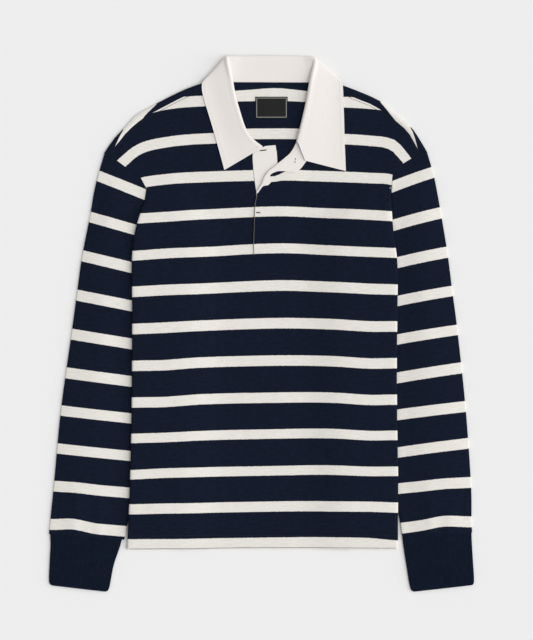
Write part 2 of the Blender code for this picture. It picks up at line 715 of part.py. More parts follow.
def collar_sections():
    """Rows of points across the collar, from its seam round the roll to its free edge."""
    rows = refine(COLLAR, COLLAR_STEPS)
    sections = []
    for i, row in enumerate(rows):
        seam, roll, edge = Vector(row[0:2]), Vector(row[2:4]), Vector(row[4:6])
        lean, edge_rise, bow = math.radians(row[6]), row[7], row[8]
        before, after = rows[max(i - 1, 0)], rows[min(i + 1, len(rows) - 1)]
        run = (Vector(after[2:4]) - Vector(before[2:4])).normalized()
        sway = Vector((run.x, run.y, 0)) * bow
        inwards = Vector((run.y, -run.x, 0))
        up = Vector((0, 0, 1))
        outermost = inwards * math.cos(lean) + up * math.sin(lean)
        across = inwards * math.sin(lean) - up * math.cos(lean)
        share = row[6] / 180
        base = lay(*roll) * (1 - share)
        centre_height = base + ROLL_BASE["front"] * (1 - share) + ROLL_BASE["back"] * share
        centre_height += ROLL * math.sin(lean)
        level = Vector((outermost.x, outermost.y)) * (ROLL + TWILL / 2)
        centre = Vector((*(roll - level), centre_height))
        front_seam = 1 - smooth(row[6], *SEAM_FALL)
        seam_height = lay(*seam) + LOW_MID + SEAM_RISE * front_seam
        edge_height = edge_rise + (lay(*edge) if edge_rise > LOW_EDGE else 0)
        start = Vector((*seam, seam_height))
        end = Vector((*edge, edge_height))
        near = centre + across * ROLL
        far = centre - across * ROLL
        section = [start.lerp(near, j / STAND_COLUMNS) for j in range(STAND_COLUMNS)]
        for step in range(WRAP_STEPS + 1):
            angle = math.pi * step / WRAP_STEPS
            section.append(centre + across * ROLL * math.cos(angle)
                           + outermost * ROLL * math.sin(angle)
                           - sway * BOW_START * min(0.0, math.cos(angle)))
        for j in range(1, FALL_COLUMNS + 1):
            s = j / FALL_COLUMNS
            point = far.lerp(end, s)
            point.z = far.z + (end.z - far.z) * smooth(s, *FALL_BEND)
            bowed = min(BOW_START + (1 - BOW_START) * s / BOW_PEAK, (1 - s) / (1 - BOW_PEAK))
            section.append(point + sway * bowed)
        for point in section:
            point.z = max(point.z, TWILL / 2)
        sections.append(section)
    return sections


def build_collar():
    """The collar: stand and fall in one piece, round the neck from end to end."""
    cloth("collar", [collar_sections()], TWILL, OFF_WHITE, 0.85)


def build_under_placket():
    """The strip on the left edge of the slit, under the lap."""
    rows = []
    for x1, y1, x2, y2 in UNDER_PLACKET:
        line = even([(x1, y1), (x2, y2)], PLACKET_COLUMNS)
        rows.append([(x, y, lay(x, y) + LAYER + FACING / 2) for x, y in line])
    cloth("under_placket", [rows], FACING, OFF_WHITE, 0.85)


def build_facing():
    """The lapping edge's facing, turned out over the front and curled round its edge."""
    rows = []
    for x1, y1, x2, y2 in FACING_STRIP:
        turned, free = (x1, y1), (x2, y2)
        under = front_right_point(x1, y1)[2]
        top = under + JERSEY / 2 + GAP + FACING / 2
        row = [(*shifted(turned, free, -CURL), under), (*shifted(turned, free, -CURL), top - CURL / 2)]
        for share in FACING_SHARES:
            x, y = mix(turned, free, share)
            row.append((x, y, front_right_point(x, y)[2] + JERSEY / 2 + GAP + FACING / 2))
        rows.append(row)
    cloth("placket_facing", [rows], FACING, OFF_WHITE, 0.85)


def build_label():
    """The blank woven label on the inside of the back."""
    low_x, low_y, high_x, high_y = LABEL_BOX
    across, upwards = LABEL_CELLS
    rows = []
    for x, y in even([(low_x, low_y), (low_x, high_y)], upwards):
        line = even([(x, y), (high_x, y)], across)
        rows.append([(x, y, lay(x, y) + JERSEY + GAP + LABEL / 2) for x, y in line])
    cloth("neck_label", [rows], LABEL, WOVEN_BLACK, 0.6)


def main():
    for piece in list(bpy.data.objects):
        bpy.data.objects.remove(piece)
    build_back()
    build_front()
    for side in ("left", "right"):
        build_sleeve(side)
        build_cuff(side)
    build_collar()
    build_under_placket()
    build_facing()
    build_label()


main()
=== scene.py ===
"""The looks of a rugby shirt laid flat: striped jersey, rib cuffs, twill collar and placket.

Tables and lengths are in millimetres, and meshes are built in metres.
"left" and "right" are the sides seen from above, so "left" is towards -X.
"""

import math

import bmesh
import bpy
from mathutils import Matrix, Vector
from mathutils.bvhtree import BVHTree

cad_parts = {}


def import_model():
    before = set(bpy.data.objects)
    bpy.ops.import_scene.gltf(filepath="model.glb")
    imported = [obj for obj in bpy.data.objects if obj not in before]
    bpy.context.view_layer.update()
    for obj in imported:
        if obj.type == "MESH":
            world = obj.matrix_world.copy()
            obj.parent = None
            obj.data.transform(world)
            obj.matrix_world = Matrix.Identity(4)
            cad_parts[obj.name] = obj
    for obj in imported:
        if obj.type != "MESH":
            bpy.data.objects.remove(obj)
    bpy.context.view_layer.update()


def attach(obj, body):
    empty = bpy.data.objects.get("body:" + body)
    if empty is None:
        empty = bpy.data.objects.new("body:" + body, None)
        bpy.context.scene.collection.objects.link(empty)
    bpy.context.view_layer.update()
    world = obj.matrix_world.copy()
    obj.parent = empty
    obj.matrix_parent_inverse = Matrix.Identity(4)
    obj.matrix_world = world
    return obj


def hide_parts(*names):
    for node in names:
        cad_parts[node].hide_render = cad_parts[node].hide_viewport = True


MM = 0.001

# Cloth, as its solids are cut
JERSEY = 1.4            # wall of the striped jersey
TWILL = 1.6             # wall of the collar, two layers of twill and their interlining
FACING = 1.2            # wall of the placket strips
LABEL = 0.7             # wall of the woven label
GAP = 0.4               # clear space between layers that lie on each other
SEAM = 0.35             # clear space between pieces that are sewn edge to edge
ARM_CLEAR = 0.02        # the same at the curved armhole, along X and along Y
LAYER = JERSEY + GAP    # from one layer of jersey to the next
LOW_MID = JERSEY / 2            # middle of the lowest layer of jersey
TOP_MID = LOW_MID + LAYER       # middle of the layer on it
PAIR = 2 * LAYER                # height taken by two layers
FRONT_TURN = 1.5 * LAYER        # radius of the front's fold, round the layers within it
SIDES = ("left", "right")
INWARDS = {"left": 1, "right": -1}  # the way to the shirt's middle along X

# Body, from the neck down
CORNER_Y = 209.0        # where the armhole seam meets the fold at the shirt's side
CHEST_Y = 230.0         # a level row, part of the way up the armholes
SLIT_END_Y = 90.0       # foot of the placket slit
HEM_Y = -349.0
HEM_DEPTH = 21.0        # from the hem's edge to its stitching
FLAP = 75.0             # cloth folded under at each side
FLAP_START = 16.0       # the same, just below the armhole
FLAP_GROWTH = 70.0      # length over which it grows to the full width
SLEEVE_TUCK = (198.0, 168.0)    # the side rises over the tucked sleeve between these heights
SLEEVE_LEAVES = (-312.0, -348.0)    # and comes down again between these
STACK_RISE = (231.0, 209.0)     # the side rises over its own folded cloth between these
STACK_FALL = 72.0       # width over which the panels come down from the folded side
NECK_X = 16.0           # centre of the neck
NECK_RISE = 2.0         # the back is lifted here by the collar lying under it
NECK_HALF = (104.0, 182.0)      # half widths of that lift, at full height and at nothing
NECK_FOOT = (352.0, 268.0)      # heights between which the lift ends

BODY_SIDES = (
    # y, left fold x, right fold x
    (209.0, -178.0, 200.6),
    (191.0, -180.8, 201.0),
    (171.0, -187.8, 201.8),
    (137.0, -197.0, 204.6),
    (95.0, -200.9, 210.1),
    (36.0, -200.3, 210.4),
    (-56.0, -200.5, 209.3),
    (-149.0, -201.4, 209.8),
    (-242.0, -203.6, 211.4),
    (-297.0, -205.7, 211.0),
    (-349.0, -208.6, 211.4),
)
SHOULDER_SEAM = {
    # x, y from the armhole to the neck: the seam that lies forward of the shoulder
    "left": ((-241.3, 262.0), (-226.8, 274.2), (-209.1, 296.5), (-185.1, 317.1),
             (-165.4, 328.4), (-118.3, 352.5), (-73.0, 371.4)),
    "right": ((254.8, 262.8), (240.9, 270.5), (234.0, 286.1), (222.0, 301.8), (206.2, 315.0),
              (190.2, 327.6), (166.0, 341.3), (142.1, 350.3), (105.5, 370.6)),
}
SHOULDER_FOLD = {
    # x, y from the armhole to the neck: where the back rolls over
    "left": ((-244.0, 263.9), (-228.8, 286.1), (-210.8, 305.4), (-194.8, 323.3),
             (-162.8, 341.0), (-123.7, 360.5), (-92.5, 372.2), (-72.0, 375.3)),
    "right": ((257.4, 264.2), (243.5, 287.7), (229.2, 307.2), (206.2, 326.7),
              (179.5, 347.2), (126.9, 368.6), (105.0, 374.5)),
}
SHOULDER_BAND = {
    # the back's off-white band over the shoulder, as shares from the armhole to the neck:
    # its start and end at the seam, its start and end at the fold
    "left": (0.093, 0.39, 0.228, 0.535),
    "right": (0.084, 0.38, 0.25, 0.56),
}
ARMHOLE = {
    # x, y from the shoulder to the side
    "left": ((-242.9, 261.3), (-223.2, 252.0), (-211.2, 243.0), (-189.4, 230.0), (-178.0, 209.0)),
    "right": ((256.4, 262.1), (232.8, 256.4), (219.4, 248.2), (202.6, 230.0), (200.6, 209.0)),
}
NECKLINE = {
    # x, y from the placket to the shoulder, under the collar
    "left": ((-14.9, 264.0), (-28.8, 276.8), (-42.8, 293.9), (-56.7, 320.2), (-66.0, 346.6),
             (-73.0, 371.4)),
    "right": ((52.6, 275.2), (66.8, 276.0), (73.5, 286.5), (90.0, 317.1), (100.6, 345.0),
              (105.5, 370.6)),
}
LEFT_LIP = (
    # x, y from the foot of the slit to the neck
    (-11.8, 90.0), (-13.0, 123.4), (-12.3, 163.7), (-10.4, 186.0), (-9.0, 201.3),
    (-11.4, 221.0), (-13.4, 238.5), (-14.9, 264.0),
)
RIGHT_LIP = (
    (-11.8, 90.0), (-12.8, 123.4), (-11.6, 163.7), (-10.5, 186.0), (-7.2, 201.0),
    (-1.1, 211.3), (1.8, 216.4), (3.9, 222.1), (6.4, 228.0), (9.8, 232.8), (15.3, 237.9),
    (24.8, 245.4), (41.4, 258.6), (49.6, 266.8), (54.2, 275.0),
)
LIP_RISE = 1.8          # the lapping edge lies on the under placket
LIP_WIDTH = (44.0, 70.0)    # from the edge, the lap is full to here and gone here
LIP_FOOT = (132.0, 90.0)    # heights between which it comes down to the slit's foot
LIP_HEAD = (242.0, 275.0)   # and to the neck

# Stripes
STRIPE_PLACES = (-225.0, -190.0, -150.0, -95.0, 25.0, 106.0, 168.0, 203.0, 230.0)
BODY_STRIPES = (
    # half width; y of the stripe's middle at each of those places across, from the neck down
    (8.2, 370.0, 384.0, 394.0, 400.0, 402.0, 400.5, 396.0, 389.0, 375.0),
    (8.2, 312.0, 328.0, 339.3, 344.4, 347.4, 343.6, 340.6, 334.6, 318.0),
    (8.0, 241.0, 269.5, 280.5, 286.0, 288.5, 286.5, 283.0, 276.0, 246.5),
    (8.2, 196.0, 216.0, 223.1, 226.8, 229.8, 227.8, 225.2, 222.0, 205.0),
    (7.5, 160.1, 162.4, 164.9, 168.6, 173.8, 170.7, 167.9, 165.8, 163.6),
    (7.4, 103.2, 105.4, 108.3, 110.7, 116.6, 113.4, 110.6, 109.2, 107.2),
    (8.1, 47.8, 49.6, 51.9, 53.9, 59.0, 56.7, 53.6, 52.7, 51.3),
    (8.1, -9.5, -8.0, -6.3, -3.3, 0.6, -0.8, -4.4, -4.4, -5.0),
    (8.0, -66.3, -65.1, -64.2, -60.2, -57.2, -58.0, -61.7, -61.2, -61.8),
    (7.9, -122.7, -121.8, -121.1, -117.2, -114.6, -114.4, -118.0, -117.5, -118.2),
    (7.2, -178.5, -177.2, -176.0, -173.3, -170.9, -170.0, -173.0, -172.6, -173.0),
    (7.2, -234.4, -233.1, -231.1, -229.8, -227.7, -226.5, -228.3, -228.1, -228.4),
    (7.8, -287.6, -286.8, -285.8, -285.2, -283.1, -282.6, -282.9, -284.1, -285.2),
    (10.0, -343.3, -342.9, -342.8, -342.4, -341.1, -340.4, -341.4, -344.6, -346.1),
    (8.1, -412.0, -412.0, -411.0, -411.0, -410.0, -410.0, -411.0, -412.0, -413.0),
)
STRIPE_HALF = 0.145     # half of a stripe, as a share of the stripe's number
STRIPE_OVERRUN = 0.2    # past the outermost places a stripe goes on for this share of a stretch
BACK_SHIFT = 5.7        # the back's stripes lie this much higher in its middle, near the neck
SHIFT_WIDTH = (70.0, 200.0)     # from the neck's centre, the shift is full to here and gone here
SHIFT_RISE = (40.0, 220.0)      # heights between which it grows
BACK_ARCH = (20.0, 38.0, 3.4)   # its uppermost edge: x of the top, half width and height of an arch
ARCH_RISE = (350.0, 362.0)      # heights between which the arch grows
LIP_DIP = (11.0, 12.0, 30.0, 215.0, 230.0)  # by the lapping edge a stripe dips this much, between
                                            # these distances from it and these heights
SLEEVE_STRIPES = {
    # stripe's number from the shoulder, half width; x, y of its middle at the outer edge
    # and at the body
    "left": (
        (1, 8.7, -253.1, 228.9, -179.2, 199.4),
        (2, 8.2, -265.2, 165.0, -194.0, 144.8),
        (3, 8.6, -277.9, 105.1, -201.2, 86.8),
        (4, 8.5, -286.4, 44.2, -201.3, 27.5),
        (5, 8.4, -294.5, -16.2, -201.3, -31.4),
        (6, 8.3, -303.0, -76.1, -201.4, -89.6),
        (7, 7.4, -310.9, -134.5, -201.5, -146.8),
        (8, 7.4, -316.5, -193.4, -203.0, -205.1),
        (9, 8.2, -321.5, -251.7, -204.8, -262.2),
        (10, 8.3, -327.1, -311.4, -209.0, -321.9),
    ),
    "right": (
        (1, 8.9, 265.8, 234.5, 201.2, 211.3),
        (2, 8.9, 277.8, 171.7, 205.2, 152.6),
        (3, 8.6, 287.8, 110.7, 211.1, 94.6),
        (4, 7.9, 295.6, 50.6, 210.9, 35.1),
        (5, 7.8, 303.3, -9.6, 210.3, -24.7),
        (6, 8.4, 309.6, -68.4, 210.4, -84.2),
        (7, 8.2, 315.9, -128.5, 210.6, -141.3),
        (8, 8.0, 320.0, -185.2, 211.4, -199.7),
        (9, 8.2, 324.3, -246.1, 212.4, -255.5),
        (10, 8.3, 325.4, -307.8, 213.6, -317.0),
    ),
}
SLEEVE_ARCH = {"left": 0.0, "right": 0.6}   # a sleeve's stripes rise this much in their middle
GATHER_LIFT = {
    # share across at which the last stripe is drawn up most, half width as a share, height
    "left": (0.30, 0.20, 4.4),
    "right": (0.38, 0.28, 5.0),
}
LIFTED_STRIPES = (8.5, 10)      # numbers between which that lift grows

SLEEVE = {
    # outer x, y; x, y where it goes under the body or its own inner edge; tucked width; crown
    "left": (
        (-243.4, 263.3, -178.6, 209.0, 0.2, 0.0),
        (-253.8, 228.0, -180.6, 197.0, 0.6, 1.2),
        (-257.6, 212.3, -182.8, 186.9, 0.6, 1.7),
        (-260.9, 196.2, -187.0, 174.6, 0.9, 2.2),
        (-266.0, 165.2, -194.2, 145.1, 12.0, 2.6),
        (-277.9, 104.8, -201.2, 87.7, 40.0, 2.8),
        (-286.4, 44.0, -201.3, 28.0, 40.0, 2.8),
        (-294.5, -16.1, -201.3, -31.3, 36.0, 3.0),
        (-310.9, -134.7, -201.5, -146.8, 21.0, 3.2),
        (-321.9, -251.7, -204.8, -261.9, 7.0, 3.2),
        (-327.1, -302.9, -207.1, -312.9, -1.0, 2.8),
        (-329.2, -325.6, -212.6, -334.6, -0.2, 1.6),
    ),
    "right": (
        (256.8, 263.9, 201.2, 209.0, 0.2, 0.0),
        (265.8, 233.4, 202.0, 197.0, 1.1, 1.2),
        (269.4, 217.4, 202.3, 187.7, 1.1, 1.7),
        (272.6, 200.9, 202.6, 179.2, 1.5, 2.2),
        (277.8, 171.4, 205.2, 152.8, 12.0, 2.6),
        (287.8, 111.0, 211.1, 94.9, 40.0, 2.8),
        (295.6, 50.0, 210.9, 36.0, 40.0, 2.8),
        (303.3, -9.3, 210.3, -23.2, 36.0, 3.0),
        (315.9, -128.2, 210.6, -139.7, 21.0, 3.2),
        (324.3, -245.5, 212.2, -254.8, 7.0, 3.2),
        (325.3, -304.4, 213.6, -308.4, -1.0, 2.8),
        (326.2, -323.6, 217.0, -327.0, -0.2, 1.6),
    ),
}
CUFF = {
    # outer x, y; inner x, y, from the sleeve to the wrist
    "left": (
        (-327.7, -325.75, -216.4, -334.35),
        (-326.9, -343.2, -220.4, -348.6),
        (-328.2, -368.0, -229.4, -375.4),
        (-329.2, -398.6, -235.8, -408.6),
        (-325.4, -405.4, -240.8, -415.2),
    ),
    "right": (
        (325.2, -323.65, 217.8, -327.0),
        (325.8, -340.1, 219.6, -344.7),
        (327.5, -368.0, 224.0, -372.5),
        (329.2, -399.2, 230.2, -408.8),
        (326.0, -405.0, 235.8, -415.2),
    ),
}
SHOWN_CROWN = 0.88      # the sleeve is flat again at this share of the width that shows
CUFF_DEPTH = 85.0       # length of a cuff's cloth, from the sleeve to the wrist
CUFF_CROWN = 1.4        # rise of a cuff's upper side at the sleeve
CUFF_FLATTENS = 0.4     # share of that rise which is lost at the wrist
RIB_DEPTH = 0.2
COLLAR = (
    # seam x, y; roll x, y at its outermost; edge x, y; lean: 0 lies inwards, 180 outwards;
    # edge height over the layer below it; bow of the edge end
    (-14.4, 265.4, 1.8, 274.4, -57.6, 237.8, 0, 4.8, 0),
    (-27.8, 278.4, -13.2, 286.2, -66.0, 268.6, 0, 4.7, 0),
    (-41.8, 295.0, -24.4, 302.7, -73.7, 296.2, 0, 4.6, 0),
    (-55.7, 320.8, -33.8, 331.1, -82.8, 326.4, 5, 4.6, 0),
    (-65.0, 347.0, -40.6, 355.9, -90.0, 350.5, 15, 4.6, 0),
    (-69.9, 362.1, -45.6, 380.7, -92.4, 364.0, 40, 4.8, 0),
    (-67.0, 373.6, -53.4, 408.6, -90.6, 374.4, 90, 4.2, 0),
    (-60.0, 375.2, -50.8, 412.6, -80.4, 380.4, 125, 0.8, 0),
    (-48.0, 374.6, -38.5, 414.4, -64.5, 366.7, 160, 0.8, 0),
    (-30.0, 374.3, -25.7, 414.8, -36.6, 362.6, 180, 0.8, 0),
    (16.1, 374.3, 16.1, 415.2, 16.1, 361.3, 180, 0.8, 0),
    (62.5, 373.9, 58.0, 414.5, 69.5, 361.8, 180, 0.8, 0),
    (80.5, 373.8, 70.4, 413.8, 96.8, 366.2, 160, 0.8, 0),
    (93.0, 374.2, 78.6, 411.4, 113.0, 380.6, 125, 0.8, 0),
    (99.6, 372.8, 83.0, 406.0, 123.8, 374.4, 90, 4.2, 0),
    (102.6, 360.5, 75.2, 379.1, 126.0, 362.1, 40, 4.8, 0),
    (98.8, 345.4, 69.6, 349.7, 126.8, 340.4, 15, 4.6, 0),
    (88.0, 317.7, 64.2, 324.9, 127.8, 312.5, 5, 4.6, 0),
    (77.2, 296.2, 58.9, 302.9, 128.4, 284.6, 0, 4.7, 0),
    (69.6, 287.4, 55.5, 290.6, 129.4, 262.9, 0, 4.8, 11),
    (66.4, 280.6, 53.5, 281.8, 130.4, 236.2, 0, 4.8, 20.4),
)
BOW_PEAK = 0.2          # the end is bowed most at this share of the fall
BOW_START = 0.1         # and at the roll by this share of the most
ROLL = 2.9              # radius of the collar's roll, to the middle of the twill
ROLL_BASE = {"front": 6.6, "back": 5.2}
SEAM_RISE = 2.0         # the collar's seam at the front lies this much higher than at the back
SEAM_FALL = (90, 125)   # leans between which the seam comes down to the back's level
FALL_BEND = (-0.25, 0.85)   # shares of the fall between which it comes down to the layer below
LOW_EDGE = 1.0          # an edge that is lower than this lies on the floor
FACING_STRIP = (
    # x, y of the turned edge; x, y of the free edge, from the neck down
    (54.4, 279.6, 66.0, 278.0),
    (50.6, 271.4, 70.6, 255.6),
    (44.8, 262.8, 66.4, 247.6),
    (37.8, 256.6, 60.2, 239.6),
    (32.2, 251.9, 52.6, 234.6),
    (25.0, 246.3, 40.4, 235.4),
    (18.4, 240.8, 27.0, 236.0),
    (12.6, 236.4, 18.4, 233.4),
    (8.3, 231.4, 13.4, 229.6),
    (4.8, 225.6, 12.4, 223.8),
    (3.4, 222.0, 15.4, 220.4),
    (1.8, 217.6, 12.6, 216.6),
    (0.6, 215.2, 9.6, 214.2),
    (-0.6, 213.2, 3.2, 213.0),
    (-2.4, 210.4, -0.4, 209.6),
    (-7.2, 202.6, -5.9, 201.8),
)
CURL = 0.8              # the facing goes this far past the lapping edge as it curls round it
UNDER_PLACKET = (
    # left x, y; right x, y, from the neck down
    (5.8, 275.0, 21.6, 276.4),
    (-3.6, 270.4, 22.5, 270.2),
    (-13.4, 264.4, 23.6, 263.8),
    (-12.6, 238.5, 25.0, 241.2),
    (-10.6, 221.0, 26.4, 222.6),
    (-8.2, 201.3, 27.0, 201.3),
    (-9.4, 185.4, 27.0, 185.4),
    (-11.2, 152.8, 27.0, 152.8),
    (-11.8, 135.0, 27.0, 135.0),
)
LABEL_BOX = (-9.6, 317.6, 40.3, 351.2)    # low x, low y, high x, high y
LABEL_FRAME = (1.7, 2.5)    # the woven frame lies between these distances from the label's edge

FRONT_FOLDS = (
    # from x, y; to x, y; half width; height
    (198.0, 280.0, 199.0, 120.0, 7.0, 1.0),
    (-150.0, 232.0, -92.0, 168.0, 13.0, 1.1),
    (168.0, 222.0, 120.0, 150.0, 14.0, 0.9),
    (-60.0, 60.0, 150.0, 92.0, 26.0, 0.7),
    (-182.0, -60.0, -70.0, 6.0, 22.0, 0.8),
    (190.0, -120.0, 60.0, -196.0, 24.0, 0.8),
)
SLEEVE_FOLDS = {
    # share along the sleeve, share across it; half length and half width as shares; height
    "left": (
        (0.30, 0.42, 0.16, 0.16, 1.0),
        (0.62, 0.55, 0.14, 0.18, 1.1),
        (0.90, 0.36, 0.10, 0.10, 1.6),
        (0.90, 0.72, 0.08, 0.09, 1.2),
    ),
    "right": (
        (0.28, 0.40, 0.16, 0.16, 1.0),
        (0.58, 0.60, 0.14, 0.18, 1.1),
        (0.91, 0.32, 0.09, 0.10, 1.4),
        (0.89, 0.66, 0.10, 0.10, 1.5),
    ),
}

# Faces
SHOULDER_COLUMNS = 14   # along one shoulder
NECK_PARTS = 3          # columns to each stretch of the neckline
NECK_COLUMNS = 5 * NECK_PARTS
FLAP_COLUMNS = 8        # across the cloth folded under
WRAP_STEPS = 8          # round a fold
SKIRT_ROWS = 72         # from the hem to the foot of the slit
SLIT_ROWS = 20          # from there to the side corner
ARM_ROWS = 6            # from there to the chest row
YOKE_ROWS = 20          # from there to the shoulder
SLEEVE_STEPS = 9        # stretches between two rows of the sleeve's table
CURVE_STEPS = 4         # the same for the sides, the shoulders and the placket's strips
SLEEVE_COLUMNS = 24     # across one side of a sleeve
RIBS = 25               # across the upper side of a cuff
RIB_STEPS = 6           # columns to each rib
CUFF_STEPS = 4          # stretches between two rows of the cuff's table
COLLAR_STEPS = 5        # stretches between two rows of the collar's table
STAND_COLUMNS = 8       # from the collar's seam to its roll
FALL_COLUMNS = 15       # from its roll to its free edge
PLACKET_COLUMNS = 8     # across the under placket
FACING_COLUMNS = 10     # across the facing
LABEL_ROWS, LABEL_COLUMNS = 12, 18
HEM_SINK = 0.35         # how far the hem's stitching pulls the cloth down
HEM_SINK_HALF = 2.5     # half width of that dip
SHOULDER_ROWS = 7       # from the back's roll at a shoulder to the seam on the front
SHOULDER_SWELL = 0.9    # the cloth between them rises this much
GATHERS = {
    # share across the sleeve's end, half width as a share, height
    "left": ((0.14, 0.035, 0.9), (0.30, 0.05, 1.6), (0.47, 0.04, 1.0), (0.63, 0.05, 1.4),
             (0.82, 0.04, 0.9)),
    "right": ((0.16, 0.04, 1.0), (0.33, 0.05, 1.5), (0.52, 0.045, 1.2), (0.70, 0.05, 1.3),
              (0.86, 0.035, 0.8)),
}
GATHER_RISE = (0.90, 0.985)     # shares along the sleeve between which they grow
GATHER_DRIFT = 0.6      # how far they slant across it, to a share of the sleeve's length
STITCHES = {
    # radius of the thread, distance from one stitch to the next, length of a stitch
    "seam": (0.35, 3.4, 2.4),
    "collar": (0.28, 3.0, 2.4),
    # the edge kind draws no thread: it draws the grey lines of painted shade, made like stitches
    "edge": (0.4, 3.0, 3.0),
    "buttonhole": (0.45, 1.2, 2.0),
}
STITCH_LIFT = 0.35      # a stitch's middle lies this share of its radius above the cloth
STITCH_REACH = 1.6      # one that would be longer than this many lengths is left out
ABOVE_ALL = 0.05        # a height in metres that no cloth reaches
HEM_ENDS = 5.0          # the hem's stitching ends this far from the folds
SEAM_STITCHES = 3.0     # the shoulder's stitches lie this far from its seam, on the front
COLLAR_EDGE = 5.0       # the collar's stitches lie this far in from its free edge
COLLAR_STITCHED = ((2, 30), (70, -3))   # rows of the refined collar from and to which they go
COLLAR_END = (6.0, 5.0)     # the line across its left end stops this far from the roll and edge
COLLAR_END_SHIFT = (2.0, 5.0)   # and is moved by this much along X and Y
EDGE_INSET = 0.5        # the grey line lies this far in from the lapping edge: the facing's pale edge, drawn grey with painted shade
EDGE_FOOT = (-12.2, 106.0)      # and from here upwards
HEM_SHADE_LINE = (
    # x, y of the grey line of painted shade along the turn of the hem
    (-204.0, -348.6), (-95.0, -348.0), (-30.0, -347.0), (90.0, -346.8), (208.0, -347.4),
)
BUTTONHOLES = (
    # x, y of the ends of each row: two on the front's bar, two on the under placket that draw a dark
    # dash just under the collar's end, and two on the facing
    ((-8.3, 172.3), (-2.2, 172.0)),
    ((-8.1, 171.6), (-2.0, 171.2)),
    ((-2.4, 268.2), (7.6, 269.4)),
    ((-2.4, 267.4), (7.6, 268.6)),
    ((52.4, 256.4), (52.4, 253.2)),
    ((52.0, 251.8), (51.6, 248.4)),
)
STITCH_SIDES = 6        # a thread is drawn with this many sides
EDGE_ANGLE = math.radians(50)   # edges sharper than this are shown sharp
MERGE = 0.01            # points of a mesh that are closer than this become one

# Colours
NAVY = "121929"
CUFF_NAVY = "0f1726"
ECRU = "e5e1db"
TWILL_WHITE = "eae5e1"
# the collar's twill made a little darker: painted shade on the under placket, which lies low under the
# lap
PLACKET_WHITE_IN_SHADE = "e8e4df"
THREAD_WHITE = "e6e1dc"
BUTTONHOLE_BROWN = "352d2a"
# grey of the lines that paint shade: along the lapping edge, where it also draws the facing's pale
# edge, and along the turn of the hem
PAINTED_SHADE_GREY = "7c7972"
LABEL_BLACK = "1c1c1e"
FRAME_GREY = "a0a09c"
PAPER = "ededed"

# Finishes
GLOSS = {
    # roughness, specular level, sheen
    "knit": (0.92, 0.06, 0.02),
    "twill": (0.85, 0.2, 0.05),
    "damask": (0.6, 0.15, 0.0),
    "thread": (0.6, 0.3, 0.0),
    "paper": (1.0, 0.0, 0.0),
}
RELIEF = {
    # strength, depth in millimetres
    "jersey": (0.35, 0.25),
    "rib": (0.3, 0.3),
    "twill": (0.12, 0.15),
    "damask": (0.2, 0.1),
}
MOTTLE = {
    # size across and along, in the units of the place it reads; lowest and highest factor
    "ragged edge": (2.5, 2.0, -0.006, 0.006),
    "navy yarn": (9.0, 4.0, 0.81, 1.19),
    "course": (14.0, 1.7, 0.925, 1.065),
    "cloud": (60.0, 45.0, 0.985, 1.015),
    "rib": (3.0, 9.0, 0.8, 1.18),
    "twill": (5.0, 5.0, 0.985, 1.01),
    "damask": (6.0, 0.8, 0.85, 1.15),
    "thread": (0.6 * MM, 0.6 * MM, 0.9, 1.08),
    "paper": (4.0 * MM, 4.0 * MM, 0.998, 1.002),
}
NOISE_RANGE = (0.25, 0.75)  # the part of the noise that becomes those factors
LOOP = (1.9, 1.7)       # width and height at which a loop of the jersey is drawn
LOOP_VEE = 2.2          # how steeply a loop's two legs run
COURSE_SHARE = 0.5      # relief of the courses beside that of the loops
DYE_EDGE = 0.006        # half width of a stripe's soft edge, as a share of its number
RIB_LOOP = 1.7          # height of the rib knit's loops
RIB_CHANNEL = 2.25      # distance between its fine channels
RIB_LOOP_SHARE = 0.35   # relief of those loops beside that of the channels
TWILL_PITCH = 2.3       # distance between diagonals, measured along either side
SATIN_PITCH = 0.9       # distance between the label's threads
FRAME_SOFT = 0.15       # half width of its frame's soft edge

# Light and camera
FLOOR_HALF = 4.0        # in metres
FLOOR_SQUARES = 8       # along each of its edges
ROOM_LIGHT = 0.475      # the even part of the light; with the lamps it adds up to 1 on the floor
LAMPS = (
    # name, power, how large it looks in degrees, direction from which it shines
    ("soft_lamp", 1.39, 45.0, (0.6, 0.0, 1.0)),
    ("low_lamp", 1.21, 40.0, (1.0, 0.0, 0.42)),
)
FLOOR_DROP = 0.2        # the floor lies this far under the cloth
LENS = 120.0
CLIP_END = 20.0         # in metres
VIEW_CENTRE = (7.6, 5.6)    # x, y of the point under the camera
FRAME_HEIGHT = 992.0    # length on the floor that the frame shows along Y


# Small mathematics

def smooth(value, start, end):
    """0 before start, 1 after end, and an even curve between them."""
    share = min(1.0, max(0.0, (value - start) / (end - start)))
    return share * share * (3 - 2 * share)


def bump(value, middle, half):
    """A soft hump, 1 at its middle."""
    return math.exp(-((value - middle) / half) ** 2)


def mix(first, second, share):
    """The row that lies a share of the way from the first to the second."""
    return tuple(a + (b - a) * share for a, b in zip(first, second))


def spline(before, first, second, after, share):
    """A smooth curve through four rows, between the second and the third."""
    return tuple(
        0.5 * (2 * b + (c - a) * share + (2 * a - 5 * b + 4 * c - d) * share ** 2
               + (3 * b - a - 3 * c + d) * share ** 3)
        for a, b, c, d in zip(before, first, second, after)
    )


def refine(table, steps):
    """The table's rows, with others laid between them on a smooth curve."""
    rows = []
    last = len(table) - 1
    for i in range(last):
        near = (table[max(i - 1, 0)], table[i], table[i + 1], table[min(i + 2, last)])
        rows += [spline(*near, step / steps) for step in range(steps)]
    return rows + [tuple(map(float, table[last]))]


def along(line, share):
    """The point at a share of a line's length."""
    lengths = [math.dist(a, b) for a, b in zip(line, line[1:])]
    left = share * sum(lengths)
    for a, b, length in zip(line, line[1:], lengths):
        if left <= length:
            return mix(a, b, left / length)
        left -= length
    return tuple(line[-1])


def even(line, count):
    """The ends of that many equal stretches of a line."""
    return [along(line, i / count) for i in range(count + 1)]


